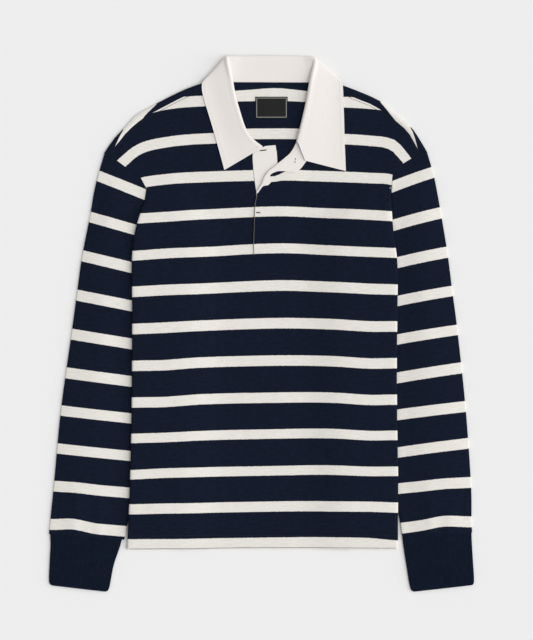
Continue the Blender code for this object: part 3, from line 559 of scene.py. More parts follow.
def at_height(line, y):
    """The x of a line at a height."""
    for low, high in zip(line, line[1:]):
        if min(low[1], high[1]) <= y <= max(low[1], high[1]) and low[1] != high[1]:
            return low[0] + (high[0] - low[0]) * (y - low[1]) / (high[1] - low[1])
    return min(line, key=lambda point: abs(point[1] - y))[0]


def shifted(point, towards, distance):
    """A point moved by a distance in the direction of another."""
    return mix(point, towards, distance / math.dist(point, towards))


def coons(low, high, left, right):
    """Rows of points that fill the space between four lines which meet at their ends."""
    rows = []
    for i in range(len(left)):
        t = i / (len(left) - 1)
        row = []
        for j in range(len(low)):
            s = j / (len(low) - 1)
            row.append(tuple(
                (1 - t) * low[j][k] + t * high[j][k] + (1 - s) * left[i][k] + s * right[i][k]
                - (1 - s) * ((1 - t) * low[0][k] + t * high[0][k])
                - s * ((1 - t) * low[-1][k] + t * high[-1][k])
                for k in (0, 1)
            ))
        rows.append(row)
    return rows


# How high the cloth lies

FOLDS = {
    "left": refine([(left, y) for y, left, right in BODY_SIDES], CURVE_STEPS),
    "right": refine([(right, y) for y, left, right in BODY_SIDES], CURVE_STEPS),
}


def fold_at(side, y):
    """The x of one side's fold at a height."""
    return at_height(FOLDS[side], y)


def flap_at(y):
    """The width that is folded under at a height."""
    return FLAP_START + (FLAP - FLAP_START) * smooth(CORNER_Y - y, 0, FLAP_GROWTH)


def tuck_at(y):
    """The lift that the tucked sleeve gives the side."""
    return PAIR * smooth(y, *SLEEVE_TUCK) * (1 - smooth(y, *SLEEVE_LEAVES))


def lay(x, y):
    """The height of the back panel's underside."""
    inside = min(x - fold_at("left", y), fold_at("right", y) - x)
    slope = 1 - smooth(inside, flap_at(y) + 2, flap_at(y) + STACK_FALL)
    side = (PAIR * smooth(y, *STACK_RISE) + tuck_at(y)) * slope
    neck = (1 - smooth(abs(x - NECK_X), *NECK_HALF)) * (1 - smooth(y, *NECK_FOOT))
    return side + NECK_RISE * neck


def ridge(along_fold, across_fold):
    """The height of a soft fold, as a share, where both numbers are 0 at its middle."""
    return max(0.0, 1 - along_fold ** 2) * math.exp(-across_fold ** 2)


def front_folds(x, y):
    """The lift of the front by its folds."""
    height = 0.0
    for x1, y1, x2, y2, half, rise in FRONT_FOLDS:
        length = math.dist((x1, y1), (x2, y2))
        run = ((x - x1) * (x2 - x1) + (y - y1) * (y2 - y1)) / length
        aside = ((x - x1) * (y2 - y1) - (y - y1) * (x2 - x1)) / length
        height += rise * ridge(2 * run / length - 1, aside / half)
    return height


def hem_sink(y):
    """How far the hem's stitching pulls the cloth down."""
    return HEM_SINK * bump(y, HEM_Y + HEM_DEPTH, HEM_SINK_HALF)


def lap(x, y):
    """The lift of the front where it laps over the under placket."""
    inside = x - at_height(RIGHT_LIP, y)
    lift = LIP_RISE * (1 - smooth(inside, *LIP_WIDTH))
    return lift * (1 - smooth(y, *LIP_FOOT)) * (1 - smooth(y, *LIP_HEAD))


# The stripes' number at a point: whole in the middle of each off-white stripe

def stripe_heights(x):
    """The heights of the body's stripes at one place across it."""
    last = len(STRIPE_PLACES) - 2
    i = max(0, min(last, sum(place <= x for place in STRIPE_PLACES) - 1))
    before, after = max(i - 1, 0), min(i + 2, last + 1)
    start, end = STRIPE_PLACES[i], STRIPE_PLACES[i + 1]
    s = min(1 + STRIPE_OVERRUN, max(-STRIPE_OVERRUN, (x - start) / (end - start)))
    heights = []
    for row in BODY_STRIPES:
        y = row[1:]
        slope_in = (y[i + 1] - y[before]) / (end - STRIPE_PLACES[before])
        slope_out = (y[after] - y[i]) / (STRIPE_PLACES[after] - start)
        heights.append(y[i] * (1 + 2 * s) * (1 - s) ** 2 + y[i + 1] * s * s * (3 - 2 * s)
                       + (end - start) * s * (1 - s) * (slope_in * (1 - s) - slope_out * s))
    return heights


def number_at(stripes, y):
    """The stripe's number at a height, from each stripe's number, middle and half width."""
    edges = []
    for number, middle, half in stripes:
        edges += [(number - STRIPE_HALF, middle + half), (number + STRIPE_HALF, middle - half)]
    for (first, high), (second, low) in zip(edges, edges[1:]):
        if y >= low:
            break
    return first + (second - first) * (high - y) / (high - low)


def front_dye(x, y):
    """The front's stripes, as wide where they slope as where they are level."""
    here, beside = stripe_heights(x), stripe_heights(x + 1)
    stripes = [(i, middle, row[0] * math.hypot(1, other - middle))
               for i, (row, middle, other) in enumerate(zip(BODY_STRIPES, here, beside))]
    return number_at(stripes, y)


def lap_dye(x, y):
    """The same, where a stripe dips by the lapping edge."""
    depth, near, far, start, full = LIP_DIP
    inside = x - at_height(RIGHT_LIP, y)
    return front_dye(x, y + depth * smooth(y, start, full) * (1 - smooth(inside, near, far)))


def back_dye(x, y):
    """The back's stripes: the front's, drawn up in the middle near the neck."""
    top, half, height = BACK_ARCH
    shift = BACK_SHIFT * (1 - smooth(abs(x - NECK_X), *SHIFT_WIDTH)) * smooth(y, *SHIFT_RISE)
    arch = height * bump(x, top, half) * smooth(y, *ARCH_RISE)
    return front_dye(x, y - shift - arch)


def sleeve_dye(side, x, y):
    """A sleeve's stripes, straight across it, and drawn up by the gathers above the cuff."""
    middle, half_lift, height = GATHER_LIFT[side]
    stripes = []
    for number, half, x1, y1, x2, y2 in SLEEVE_STRIPES[side]:
        across = (x - x1) / (x2 - x1)
        lift = height * bump(across, middle, half_lift) * smooth(number, *LIFTED_STRIPES)
        arch = SLEEVE_ARCH[side] * math.sin(math.pi * across)
        stripes.append((number, y1 + (y2 - y1) * across + lift + arch, half))
    return number_at(stripes, y)


def back_point(x, y):
    """A point of the back panel, with its place in the knit and its stripe's number."""
    return (x, y, lay(x, y) + LOW_MID, x, y, back_dye(x, y))


def front_left_point(x, y):
    """A point of the front panel, left of its slit."""
    height = lay(x, y) + TOP_MID + front_folds(x, y) - hem_sink(y)
    return (x, y, height, x, y, front_dye(x, y))


def front_right_point(x, y):
    """A point of the front panel, right of its slit."""
    point = front_left_point(x, y)
    return (*point[:2], point[2] + lap(x, y), *point[3:5], lap_dye(x, y))


# Meshes

def new_cloth():
    """An empty mesh whose points can hold their place in the weave and their stripe's number."""
    bm = bmesh.new()
    bm.verts.layers.float_vector.new("weave")
    return bm


def add_patch(bm, rows):
    """Adds a grid of cloth; its points are x, y, z, place across and along the weave, stripe."""
    weave = bm.verts.layers.float_vector["weave"]
    columns, count = len(rows[0]) - 1, len(rows) - 1
    made = bmesh.ops.create_grid(bm, x_segments=columns, y_segments=count, size=1)
    for vert in made["verts"]:
        i = round((vert.co.y + 1) / 2 * count)
        j = round((vert.co.x + 1) / 2 * columns)
        vert.co = Vector(rows[i][j][:3]) * MM
        vert[weave] = rows[i][j][3:]


def finish(name, bm, material, node, wall=0.0):
    """Makes the object of a finished mesh, with its wall, its finish and its place in the part."""
    bmesh.ops.remove_doubles(bm, verts=bm.verts, dist=MERGE * MM)
    bmesh.ops.recalc_face_normals(bm, faces=bm.faces)
    mesh = bpy.data.meshes.new(name)
    bm.to_mesh(mesh)
    bm.free()
    piece = bpy.data.objects.new(name, mesh)
    bpy.context.scene.collection.objects.link(piece)
    if wall:
        thickness = piece.modifiers.new("wall", "SOLIDIFY")
        thickness.thickness = wall * MM
        thickness.offset = 0
        bpy.context.view_layer.update()
        whole = piece.evaluated_get(bpy.context.evaluated_depsgraph_get())
        piece.data = bpy.data.meshes.new_from_object(whole)
        piece.modifiers.clear()
    piece.data.shade_smooth()
    piece.data.set_sharp_from_angle(angle=EDGE_ANGLE)
    piece.data.materials.append(material)
    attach(piece, "root")
    if node:
        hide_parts(node)
    return piece


def cloth(name, patches, wall, material, node):
    """One piece of cloth: patches that share their edges, thickened to a wall about them."""
    bm = new_cloth()
    for rows in patches:
        add_patch(bm, rows)
    return finish(name, bm, material, node, wall)


# Body

def body_heights():
    """The heights of the level rows, from the hem to the chest."""
    stops = (HEM_Y, SLIT_END_Y, CORNER_Y, CHEST_Y)
    counts = (SKIRT_ROWS, SLIT_ROWS, ARM_ROWS)
    rows = [low + (high - low) * i / count
            for low, high, count in zip(stops, stops[1:], counts) for i in range(count)]
    return rows + [CHEST_Y]


def panel_edge(side, y):
    """The x where a panel's upper side ends: at its fold, or at the armhole."""
    if y > CORNER_Y:
        return at_height(ARMHOLE[side], y)
    return fold_at(side, y) + INWARDS[side] * (JERSEY / 2 + FRONT_TURN)


def lip(line, y):
    """The x of one edge of the slit, or of the line below its foot."""
    return line[0][0] if y <= SLIT_END_Y else at_height(line, y)


def half_rows(start, end):
    """Level rows across half of the body, between two functions of the height."""
    columns = SHOULDER_COLUMNS + NECK_COLUMNS
    return [[mix((start(y), y), (end(y), y), j / columns) for j in range(columns + 1)]
            for y in body_heights()]


def left_half():
    """The rows from the left side to the slit."""
    return half_rows(lambda y: panel_edge("left", y), lambda y: lip(LEFT_LIP, y))


def right_half():
    """The rows from the slit to the right side."""
    return half_rows(lambda y: lip(RIGHT_LIP, y), lambda y: panel_edge("right", y))


def wrapped(side, radius, point_at, dye):
    """The cloth that goes round a side's fold and lies turned under, row by row."""
    inwards = INWARDS[side]
    rows = []
    for y in body_heights():
        if y > CORNER_Y:
            break
        centre = panel_edge(side, y)
        middle = tuck_at(y) + LOW_MID + FRONT_TURN
        number = dye(centre, y)
        row = [point_at(centre, y)]
        for step in range(1, WRAP_STEPS + 1):
            angle = math.pi * step / WRAP_STEPS
            row.append((centre - inwards * radius * math.sin(angle), y,
                        middle + radius * math.cos(angle),
                        centre - inwards * radius * angle, y, number))
        low = middle - radius
        reach = flap_at(y) - radius
        for i in range(1, FLAP_COLUMNS + 1):
            run = reach * i / FLAP_COLUMNS
            row.append((centre + inwards * run, y, low,
                        centre - inwards * (radius * math.pi + run), y, number))
        rows.append(row)
    return rows


def yoke_side(side, y, corner):
    """The armhole from the chest row to a corner at the shoulder."""
    above = [point for point in ARMHOLE[side][1:] if point[1] > y]
    return even([(at_height(ARMHOLE[side], y), y), *above[::-1], corner], YOKE_ROWS)


def seam_stations(side):
    """Pairs of points, on the shoulder's seam and on its fold, from the armhole to the neck."""
    seam = even(refine(SHOULDER_SEAM[side], CURVE_STEPS), SHOULDER_COLUMNS)
    fold = even(refine(SHOULDER_FOLD[side], CURVE_STEPS), SHOULDER_COLUMNS)
    return list(zip(seam, fold))


def front_yoke(side):
    """The front between the chest row and the shoulder seam, on one side of the slit."""
    seam = [shifted(a, b, -SEAM / 2) for a, b in seam_stations(side)]
    neck = refine(NECKLINE[side], NECK_PARTS)
    top = seam + neck[::-1][1:]
    line = LEFT_LIP if side == "left" else RIGHT_LIP
    slit = [(at_height(line, CHEST_Y), CHEST_Y)] + [p for p in line if p[1] > CHEST_Y]
    slit = even(slit[:-1] + [neck[0]], YOKE_ROWS)
    armhole = yoke_side(side, CHEST_Y, seam[0])
    if side == "left":
        return coons(left_half()[-1], top, armhole, slit)
    return coons(right_half()[-1], top[::-1], slit, armhole)


def back_shoulder(side):
    """Where the back begins to roll over at one shoulder, from the armhole to the neck."""
    return [shifted(b, a, (JERSEY + LAYER) / 2) for a, b in seam_stations(side)]


def back_yoke():
    """The back between the chest row and the shoulders."""
    left, right = (back_shoulder(side) for side in SIDES)
    neck = even([left[-1], right[-1]], 2 * NECK_COLUMNS)
    top = left + neck[1:-1] + right[::-1]
    low = left_half()[-1] + right_half()[-1][1:]
    sides = [yoke_side(side, CHEST_Y, start[0]) for side, start in zip(SIDES, (left, right))]
    return coons(low, top, *sides)


def shoulder_dye(side, share, outwards):
    """The stripe's number on the part of the back that lies over the shoulder."""
    seam_start, seam_end, fold_start, fold_end = SHOULDER_BAND[side]
    start = seam_start + (fold_start - seam_start) * outwards
    end = seam_end + (fold_end - seam_end) * outwards
    away = STRIPE_HALF * (2 * (share - start) / (end - start) - 1)
    return 1 + max(-0.5, min(0.5, away))


def shoulder_wrap(side):
    """The back where it rolls over a shoulder and comes down to the seam on the front."""
    rows = []
    radius = LAYER / 2
    starts = back_shoulder(side)
    for i, ((seam, fold), start) in enumerate(zip(seam_stations(side), starts)):
        share = i / (len(starts) - 1)
        height = lay(*start) + LOW_MID
        row = [back_point(*start)]
        for step in range(1, WRAP_STEPS + 1):
            angle = math.pi * step / WRAP_STEPS
            x, y = shifted(start, fold, radius * math.sin(angle))
            blend = back_dye(*start) if step == 1 else shoulder_dye(side, share, 1)
            row.append((x, y, height + radius - radius * math.cos(angle), x, y, blend))
        top = shifted(seam, fold, SEAM / 2)
        for step in range(1, SHOULDER_ROWS + 1):
            t = step / SHOULDER_ROWS
            x, y = mix(start, top, t)
            level = height + 2 * radius + (lay(*seam) + TOP_MID - height - 2 * radius) * t
            swell = SHOULDER_SWELL * 4 * t * (1 - t)
            row.append((x, y, level + swell, x, y, shoulder_dye(side, share, 1 - t)))
        rows.append(row)
    return rows


def raised(rows, point_at):
    """Flat rows of points, each made a point of cloth by a function."""
    return [[point_at(*point) for point in row] for row in rows]


def build_back(jersey):
    """The back panel, with its turned sides and its shoulders."""
    level = [left + right[1:] for left, right in zip(left_half(), right_half())]
    patches = [raised(level + back_yoke()[1:], back_point)]
    for side in SIDES:
        patches.append(wrapped(side, LAYER / 2, back_point, back_dye))
        patches.append(shoulder_wrap(side))
    return cloth("back_cloth", patches, JERSEY, jersey, "back_panel")


def build_front(jersey):
    """The front panel, slit from the neck, with its turned sides."""
    patches = [
        raised(left_half() + front_yoke("left")[1:], front_left_point),
        raised(right_half() + front_yoke("right")[1:], front_right_point),
        wrapped("left", FRONT_TURN, front_left_point, front_dye),
        wrapped("right", FRONT_TURN, front_right_point, front_dye),
    ]
    return cloth("front_cloth", patches, JERSEY, jersey, "front_panel")


# Sleeves and cuffs

def arc(start, direction, upwards, wall_out):
    """Points of a half circle at the edge of a flat tube, between its two layers."""
    radius = LAYER / 2 + wall_out
    points = []
    for step in range(1, WRAP_STEPS):
        angle = math.pi * step / WRAP_STEPS
        rise = -radius * math.cos(angle) * (1 if upwards else -1)
        reach = radius * math.sin(angle)
        points.append((start[0] + direction[0] * reach, start[1] + direction[1] * reach,
                       LOW_MID + LAYER / 2 + rise))
    return points


def tube_ends(outer, inner, tucked=0.0):
    """Where a flat tube's edges begin to turn, and the direction out of its outer edge."""
    inset = (JERSEY + LAYER) / 2
    width = math.dist(outer, inner)
    outwards = tuple((a - b) / width for a, b in zip(outer, inner))
    return shifted(outer, inner, inset), shifted(inner, outer, inset - tucked), outwards


def tube_ring(low, top, outwards, wall_out=0.0):
    """A closed ring of a tube, from its underside and its upper side, each outer edge first."""
    inwards = tuple(-value for value in outwards)
    ring = low[::-1] + arc(top[0], outwards, True, wall_out)
    ring += top + arc(top[-1], inwards, False, wall_out)
    return ring + ring[:1]


def crown_at(share, shown):
    """The rise of a tube's upper side across it: none where it is tucked under the body."""
    return max(0.0, 4 * share / shown * (1 - share / shown))


def sleeve_seam(side):
    """The armhole's line, moved off the body by the seam's clear space."""
    return [(x - INWARDS[side] * ARM_CLEAR, y - ARM_CLEAR) for x, y in ARMHOLE[side]]


def gathers(side, share_along, share_across):
    """The small pleats of the sleeve's end, drawn in to the cuff's width."""
    drift = (1 - share_along) * GATHER_DRIFT
    lift = sum(height * bump(share_across, middle + drift, half)
               for middle, half, height in GATHERS[side])
    return lift * smooth(share_along, *GATHER_RISE)


def sleeve_ring(side, table, i):
    """One ring of a sleeve's tube, with its crown, its creases and its gathers."""
    *points, tucked, crown = table[i]
    outer, edge = points[:2], points[2:]
    share_along = i / (len(table) - 1)
    start, end, outwards = tube_ends(outer, edge, tucked)
    line = [start, end] if i else [start, *sleeve_seam(side)[1:-1], end]
    line = even(line, SLEEVE_COLUMNS)
    width = math.dist(outer, edge)
    shown = SHOWN_CROWN * width / (width + max(tucked, 0.0))
    top = []
    for j, (x, y) in enumerate(line):
        share = j / SLEEVE_COLUMNS
        rise = crown * crown_at(share, shown)
        if share < shown:
            for middle, centre, half_run, half_width, height in SLEEVE_FOLDS[side]:
                rise += height * ridge((share_along - middle) / half_run,
                                       (share / shown - centre) / half_width)
            rise += gathers(side, share_along, share) * 4 * share * (1 - share)
        top.append((x, y, TOP_MID + rise))
    return tube_ring([(x, y, LOW_MID) for x, y in line], top, outwards)


def build_sleeve(side, jersey):
    """One sleeve: a flat tube from the armhole to the cuff."""
    table = refine(SLEEVE[side], SLEEVE_STEPS)
    rows = []
    for i in range(len(table)):
        ring = sleeve_ring(side, table, i)
        middle = mix(table[i][:2], table[i][2:4], 0.5)
        first = mix(table[0][:2], table[0][2:4], 0.5)
        rows.append([(x, y, z, math.dist((x, y), table[i][:2]), math.dist(middle, first),
                      sleeve_dye(side, x, y)) for x, y, z in ring])
    return cloth(f"sleeve_cloth_{side}", [rows], JERSEY, jersey, f"sleeve_{side}")


def cuff_ring(row, share_down, wall_out, ribbed):
    """A closed ring of a cuff, moved out of its middle by wall_out, with or without ribs."""
    outer, inner = row[:2], row[2:4]
    start, end, outwards = tube_ends(outer, inner)
    crown = CUFF_CROWN * (1 - CUFF_FLATTENS * share_down)
    count = RIBS * RIB_STEPS
    top = []
    for j in range(count + 1):
        share = j / count
        rib = RIB_DEPTH * (0.5 - 0.5 * math.cos(2 * math.pi * share * RIBS)) if ribbed else 0.0
        height = TOP_MID + wall_out + rib + crown * crown_at(share, 1.0)
        top.append((*mix(start, end, share), height))
    low = [(x, y, LOW_MID - wall_out) for x, y in even([start, end], SLEEVE_COLUMNS)]
    return [(x, y, z, math.dist((x, y), outer), share_down * CUFF_DEPTH, 0.0)
            for x, y, z in tube_ring(low, top, outwards, wall_out)]


def build_cuff(side, rib_knit):
    """One cuff: a flat rib-knit tube, ribbed on its upper side and plain within."""
    bm = new_cloth()
    rows = refine(CUFF[side], CUFF_STEPS)
    walls = []
    for wall_out, ribbed in ((JERSEY / 2, True), (-JERSEY / 2, False)):
        walls.append([cuff_ring(row, i / (len(rows) - 1), wall_out, ribbed)
                      for i, row in enumerate(rows)])
        add_patch(bm, walls[-1])
    for end in (0, -1):
        add_patch(bm, [walls[0][end], walls[1][end]])
    return finish(f"cuff_knit_{side}", bm, rib_knit, f"cuff_{side}")


# Collar and placket

def collar_section(row, run):
    """Points across the collar at one row; run is the direction round the neck."""
    seam, roll, edge = (Vector(row[i:i + 2]) for i in (0, 2, 4))
    slant, edge_rise, bow = row[6:]
    lean, share = math.radians(slant), slant / 180
    sway = Vector((run.x, run.y, 0)) * bow
    inwards, up = Vector((run.y, -run.x, 0)), Vector((0, 0, 1))
    outermost = inwards * math.cos(lean) + up * math.sin(lean)
    across = inwards * math.sin(lean) - up * math.cos(lean)

    base = lay(*roll) * (1 - share)
    centre_height = base + ROLL_BASE["front"] * (1 - share) + ROLL_BASE["back"] * share
    centre_height += ROLL * math.sin(lean)
    level = Vector((outermost.x, outermost.y)) * (ROLL + TWILL / 2)
    centre = Vector((*(roll - level), centre_height))
    seam_height = lay(*seam) + LOW_MID + SEAM_RISE * (1 - smooth(slant, *SEAM_FALL))
    edge_height = edge_rise + (lay(*edge) if edge_rise > LOW_EDGE else 0)
    start, end = Vector((*seam, seam_height)), Vector((*edge, edge_height))
    near, far = centre + across * ROLL, centre - across * ROLL

    section = [start.lerp(near, j / STAND_COLUMNS) for j in range(STAND_COLUMNS)]
    for step in range(WRAP_STEPS + 1):
        angle = math.pi * step / WRAP_STEPS
        section.append(centre + across * ROLL * math.cos(angle)
                       + outermost * ROLL * math.sin(angle)
                       - sway * BOW_START * min(0.0, math.cos(angle)))
    for j in range(1, FALL_COLUMNS + 1):
        s = j / FALL_COLUMNS
        point = far.lerp(end, s)
        point.z = far.z + (end.z - far.z) * smooth(s, *FALL_BEND)
        bowed = min(BOW_START + (1 - BOW_START) * s / BOW_PEAK, (1 - s) / (1 - BOW_PEAK))
        section.append(point + sway * bowed)
    for point in section:
        point.z = max(point.z, TWILL / 2)
    return section


def collar_patch():
    """The collar's rows of points, each point with its place round the neck and across the twill."""
    rows = refine(COLLAR, COLLAR_STEPS)
    rolls = [Vector(row[2:4]) for row in rows]
    patch = []
    round_neck = 0.0
    for i, row in enumerate(rows):
        before, after = rolls[max(i - 1, 0)], rolls[min(i + 1, len(rows) - 1)]
        section = collar_section(row, (after - before).normalized())
        round_neck += (rolls[i] - before).length
        width = 0.0
        marked = []
        for last, point in zip(section[:1] + section, section):
            width += (point - last).length
            marked.append((*point, round_neck, width, 0.0))
        patch.append(marked)
    return patch


def build_collar(twill):
    """The collar: stand and fall in one piece, round the neck from end to end."""
    return cloth("collar_cloth", [collar_patch()], TWILL, twill, "collar")


def build_under_placket(twill):
    """The strip on the left edge of the slit, under the lap."""
    rows = []
    for x1, y1, x2, y2 in refine(UNDER_PLACKET, CURVE_STEPS):
        line = even([(x1, y1), (x2, y2)], PLACKET_COLUMNS)
        rows.append([(x, y, lay(x, y) + LAYER + FACING / 2, x, y, 0.0) for x, y in line])
    return cloth("under_placket_cloth", [rows], FACING, twill, "under_placket")


def build_facing(twill):
    """The lapping edge's facing, turned out over the front and curled round its edge."""
    rows = []
    lift = JERSEY / 2 + GAP + FACING / 2
    for x1, y1, x2, y2 in refine(FACING_STRIP, CURVE_STEPS):
        turned, free = (x1, y1), (x2, y2)
        under = front_right_point(x1, y1)[2]
        past = shifted(turned, free, -CURL)
        row = [(*past, under, *past, 0.0), (*past, under + lift - CURL / 2, *past, 0.0)]
        row += [(x, y, front_right_point(x, y)[2] + lift, x, y, 0.0)
                for x, y in even([turned, free], FACING_COLUMNS)[1:]]
        rows.append(row)
    return cloth("facing_cloth", [rows], FACING, twill, "placket_facing")


def build_label(woven):
    """The blank woven label on the inside of the back."""
    low_x, low_y, high_x, high_y = LABEL_BOX
    rows = []
    for x, y in even([(low_x, low_y), (low_x, high_y)], LABEL_ROWS):
        line = even([(x, y), (high_x, y)], LABEL_COLUMNS)
        rows.append([(x, y, lay(x, y) + JERSEY + GAP + LABEL / 2, x - low_x, y - low_y, 0.0)
                     for x, y in line])
    return cloth("label_cloth", [rows], LABEL, woven, "neck_label")


# Sewing

def surface_of(*pieces):
    """Trees that give the height of the uppermost of some pieces."""
    return [BVHTree.FromPolygons([v.co for v in piece.data.vertices],
                                 [p.vertices for p in piece.data.polygons]) for piece in pieces]


def on_cloth(trees, x, y):
    """The point of the uppermost cloth at a place, in metres."""
    start, down = Vector((x * MM, y * MM, ABOVE_ALL)), Vector((0, 0, -1))
    hits = [hit for hit in (tree.ray_cast(start, down)[0] for tree in trees) if hit]
    return max(hits, key=lambda hit: hit.z) if hits else None


def add_stitch(bm, start, end, radius):
    """Adds one stitch: a short round thread, sunk at both ends."""
    run = end - start
    made = bmesh.ops.create_cone(bm, cap_ends=True, segments=STITCH_SIDES, radius1=radius,
                                 radius2=radius, depth=run.length)
    turn = run.to_track_quat("Z", "Y").to_matrix()
    bmesh.ops.rotate(bm, verts=made["verts"], cent=(0, 0, 0), matrix=turn)
    bmesh.ops.translate(bm, verts=made["verts"], vec=(start + end) / 2)


def sew(name, runs, trees, thread, kind):
    """Lines of stitches of one kind that lie on the cloth; a run is a line of x, y."""
    radius, pitch, length = STITCHES[kind]
    bm = bmesh.new()
    for run in runs:
        total = sum(math.dist(a, b) for a, b in zip(run, run[1:]))
        count = max(1, round(total / pitch))
        for i in range(count):
            start = along(run, i / count)
            end = along(run, min(1.0, (i + length / pitch) / count))
            a, b = on_cloth(trees, *start), on_cloth(trees, *end)
            if a and b and (a - b).length < STITCH_REACH * length * MM:
                lift = Vector((0, 0, radius * MM * STITCH_LIFT))
                add_stitch(bm, a + lift, b + lift, radius * MM)
    return finish(name, bm, thread, None)


# Finishes

def linear(code):
    """A hex colour as linear red, green, blue and alpha."""
    values = [int(code[i:i + 2], 16) / 255 for i in (0, 2, 4)]
    return (*[v / 12.92 if v <= 0.04045 else ((v + 0.055) / 1.055) ** 2.4 for v in values], 1)


def add(tree, kind, inputs=None, out=0, **settings):
    """Adds a node and returns one of its outputs; each input is a socket to read, or a value."""
    node = tree.nodes.new("ShaderNode" + kind)
    for key, value in settings.items():
        setattr(node, key, value)
    for key, source in (inputs or {}).items():
        if isinstance(source, bpy.types.NodeSocket):
            tree.links.new(source, node.inputs[key])
        else:
            node.inputs[key].default_value = source
    return node.outputs[out]


def new_finish(name, colour, gloss):
    """A material with its plain values set on the shader itself."""
    material = bpy.data.materials.new(name)
    material.use_nodes = True
    shader = material.node_tree.nodes["Principled BSDF"]
    roughness, specular, sheen = GLOSS[gloss]
    shader.inputs["Base Color"].default_value = linear(colour)
    shader.inputs["Roughness"].default_value = roughness
    shader.inputs["Metallic"].default_value = 0
    shader.inputs["IOR"].default_value = 1.5
    shader.inputs["Specular IOR Level"].default_value = specular
    shader.inputs["Sheen Weight"].default_value = sheen
    shader.inputs["Sheen Roughness"].default_value = 0.5
    return material, material.node_tree, shader


def weave_place(tree):
    """The place in the weave, in millimetres: as a whole, across, along, and the stripe's number."""
    place = add(tree, "Attribute", out="Vector", attribute_name="weave")
    return place, *add(tree, "SeparateXYZ", {0: place}).node.outputs


def repeat(tree, source, pitch, bend=0.0):
    """A wave, -1 to 1, that comes back at each pitch in millimetres, shifted by a number or socket."""
    turns = add(tree, "Math", {0: source, 1: 2 * math.pi / pitch, 2: bend}, operation="MULTIPLY_ADD")
    return add(tree, "Math", {0: turns}, operation="SINE")


def mottle(tree, place, kind):
    """Uneven yarn: a noise of a kind's size, as a factor between its two numbers."""
    across, upwards, low, high = MOTTLE[kind]
    scale = (1 / across, 1 / upwards, 0)
    stretch = add(tree, "VectorMath", {0: place, 1: scale}, operation="MULTIPLY")
    noise = add(tree, "TexNoise", {"Vector": stretch, "Scale": 1.0, "Detail": 2.0}, out="Fac")
    return add(tree, "MapRange", {"Value": noise, "From Min": NOISE_RANGE[0],
                                  "From Max": NOISE_RANGE[1], "To Min": low, "To Max": high})


def tinted(tree, colour, factor):
    """A colour made lighter or darker by a factor."""
    if not isinstance(colour, bpy.types.NodeSocket):
        colour = colour[:3]
    return add(tree, "VectorMath", {0: colour, 3: factor}, operation="SCALE")


def between(tree, share, first, second):
    """The first colour where the share is 0, and the second where it is 1."""
    return add(tree, "Mix", {0: share, 6: first, 7: second}, out=2, data_type="RGBA")


def dress(tree, shader, colour, relief=None, height=None):
    """Gives the shader its colour and, where it has a relief, its bumps."""
    tree.links.new(colour, shader.inputs["Base Color"])
    if relief:
        strength, depth = RELIEF[relief]
        bumps = add(tree, "Bump", {"Height": height, "Strength": strength, "Distance": depth * MM})
        tree.links.new(bumps, shader.inputs["Normal"])


def jersey_finish():
    """Yarn-dyed cotton jersey, knitted in two colours: matt, with fine courses across the stripes."""
    material, tree, shader = new_finish("cotton_jersey_striped", NAVY, "knit")
    place, across, lengthwise, number = weave_place(tree)
    # The real loops are under a millimetre; here they are about twice that, to show
    wales = repeat(tree, across, 2 * LOOP[0])
    loops = add(tree, "Math", {0: wales}, operation="ABSOLUTE")
    vee = add(tree, "Math", {0: loops, 1: LOOP_VEE}, operation="MULTIPLY")
    courses = repeat(tree, lengthwise, LOOP[1], vee)
    knit = add(tree, "Math", {0: courses, 1: COURSE_SHARE, 2: loops}, operation="MULTIPLY_ADD")
    # A stripe's edge is as uneven as one loop
    ragged = mottle(tree, place, "ragged edge")
    shaky = add(tree, "Math", {0: number, 1: ragged}, operation="ADD")
    nearest = add(tree, "Math", {0: shaky}, operation="ROUND")
    away = add(tree, "Math", {0: shaky, 1: nearest}, operation="SUBTRACT")
    size = add(tree, "Math", {0: away}, operation="ABSOLUTE")
    dyed = add(tree, "MapRange", {"Value": size, "From Min": STRIPE_HALF - DYE_EDGE,
                                  "From Max": STRIPE_HALF + DYE_EDGE})
    # The dark yarn takes the dye less evenly than the light one
    dark = tinted(tree, linear(NAVY), mottle(tree, place, "navy yarn"))
    colour = between(tree, dyed, linear(ECRU), dark)
    factors = [mottle(tree, place, kind) for kind in ("course", "cloud")]
    both = add(tree, "Math", dict(enumerate(factors)), operation="MULTIPLY")
    dress(tree, shader, tinted(tree, colour, both), "jersey", knit)
    return material


def rib_finish():
    """Navy rib knit: matt, with fine loops along each rib."""
    material, tree, shader = new_finish("cotton_rib_knit", CUFF_NAVY, "knit")
    place, across, lengthwise, _ = weave_place(tree)
    courses = repeat(tree, lengthwise, RIB_LOOP)
    channel = repeat(tree, across, RIB_CHANNEL)
    height = add(tree, "Math", {0: courses, 1: RIB_LOOP_SHARE, 2: channel}, operation="MULTIPLY_ADD")
    dress(tree, shader, tinted(tree, linear(CUFF_NAVY), mottle(tree, place, "rib")), "rib", height)
    return material


def twill_finish(name, colour):
    """Off-white cotton twill: smooth and matt, with a fine diagonal line."""
    material, tree, shader = new_finish(name, colour, "twill")
    place, across, lengthwise, _ = weave_place(tree)
    # The real diagonals are 0.7 mm apart; here they are 1.6 mm, to show
    slant = add(tree, "Math", {0: lengthwise, 1: 2 * math.pi / TWILL_PITCH}, operation="MULTIPLY")
    twill = repeat(tree, across, TWILL_PITCH, slant)
    dress(tree, shader, tinted(tree, linear(colour), mottle(tree, place, "twill")), "twill", twill)
    return material


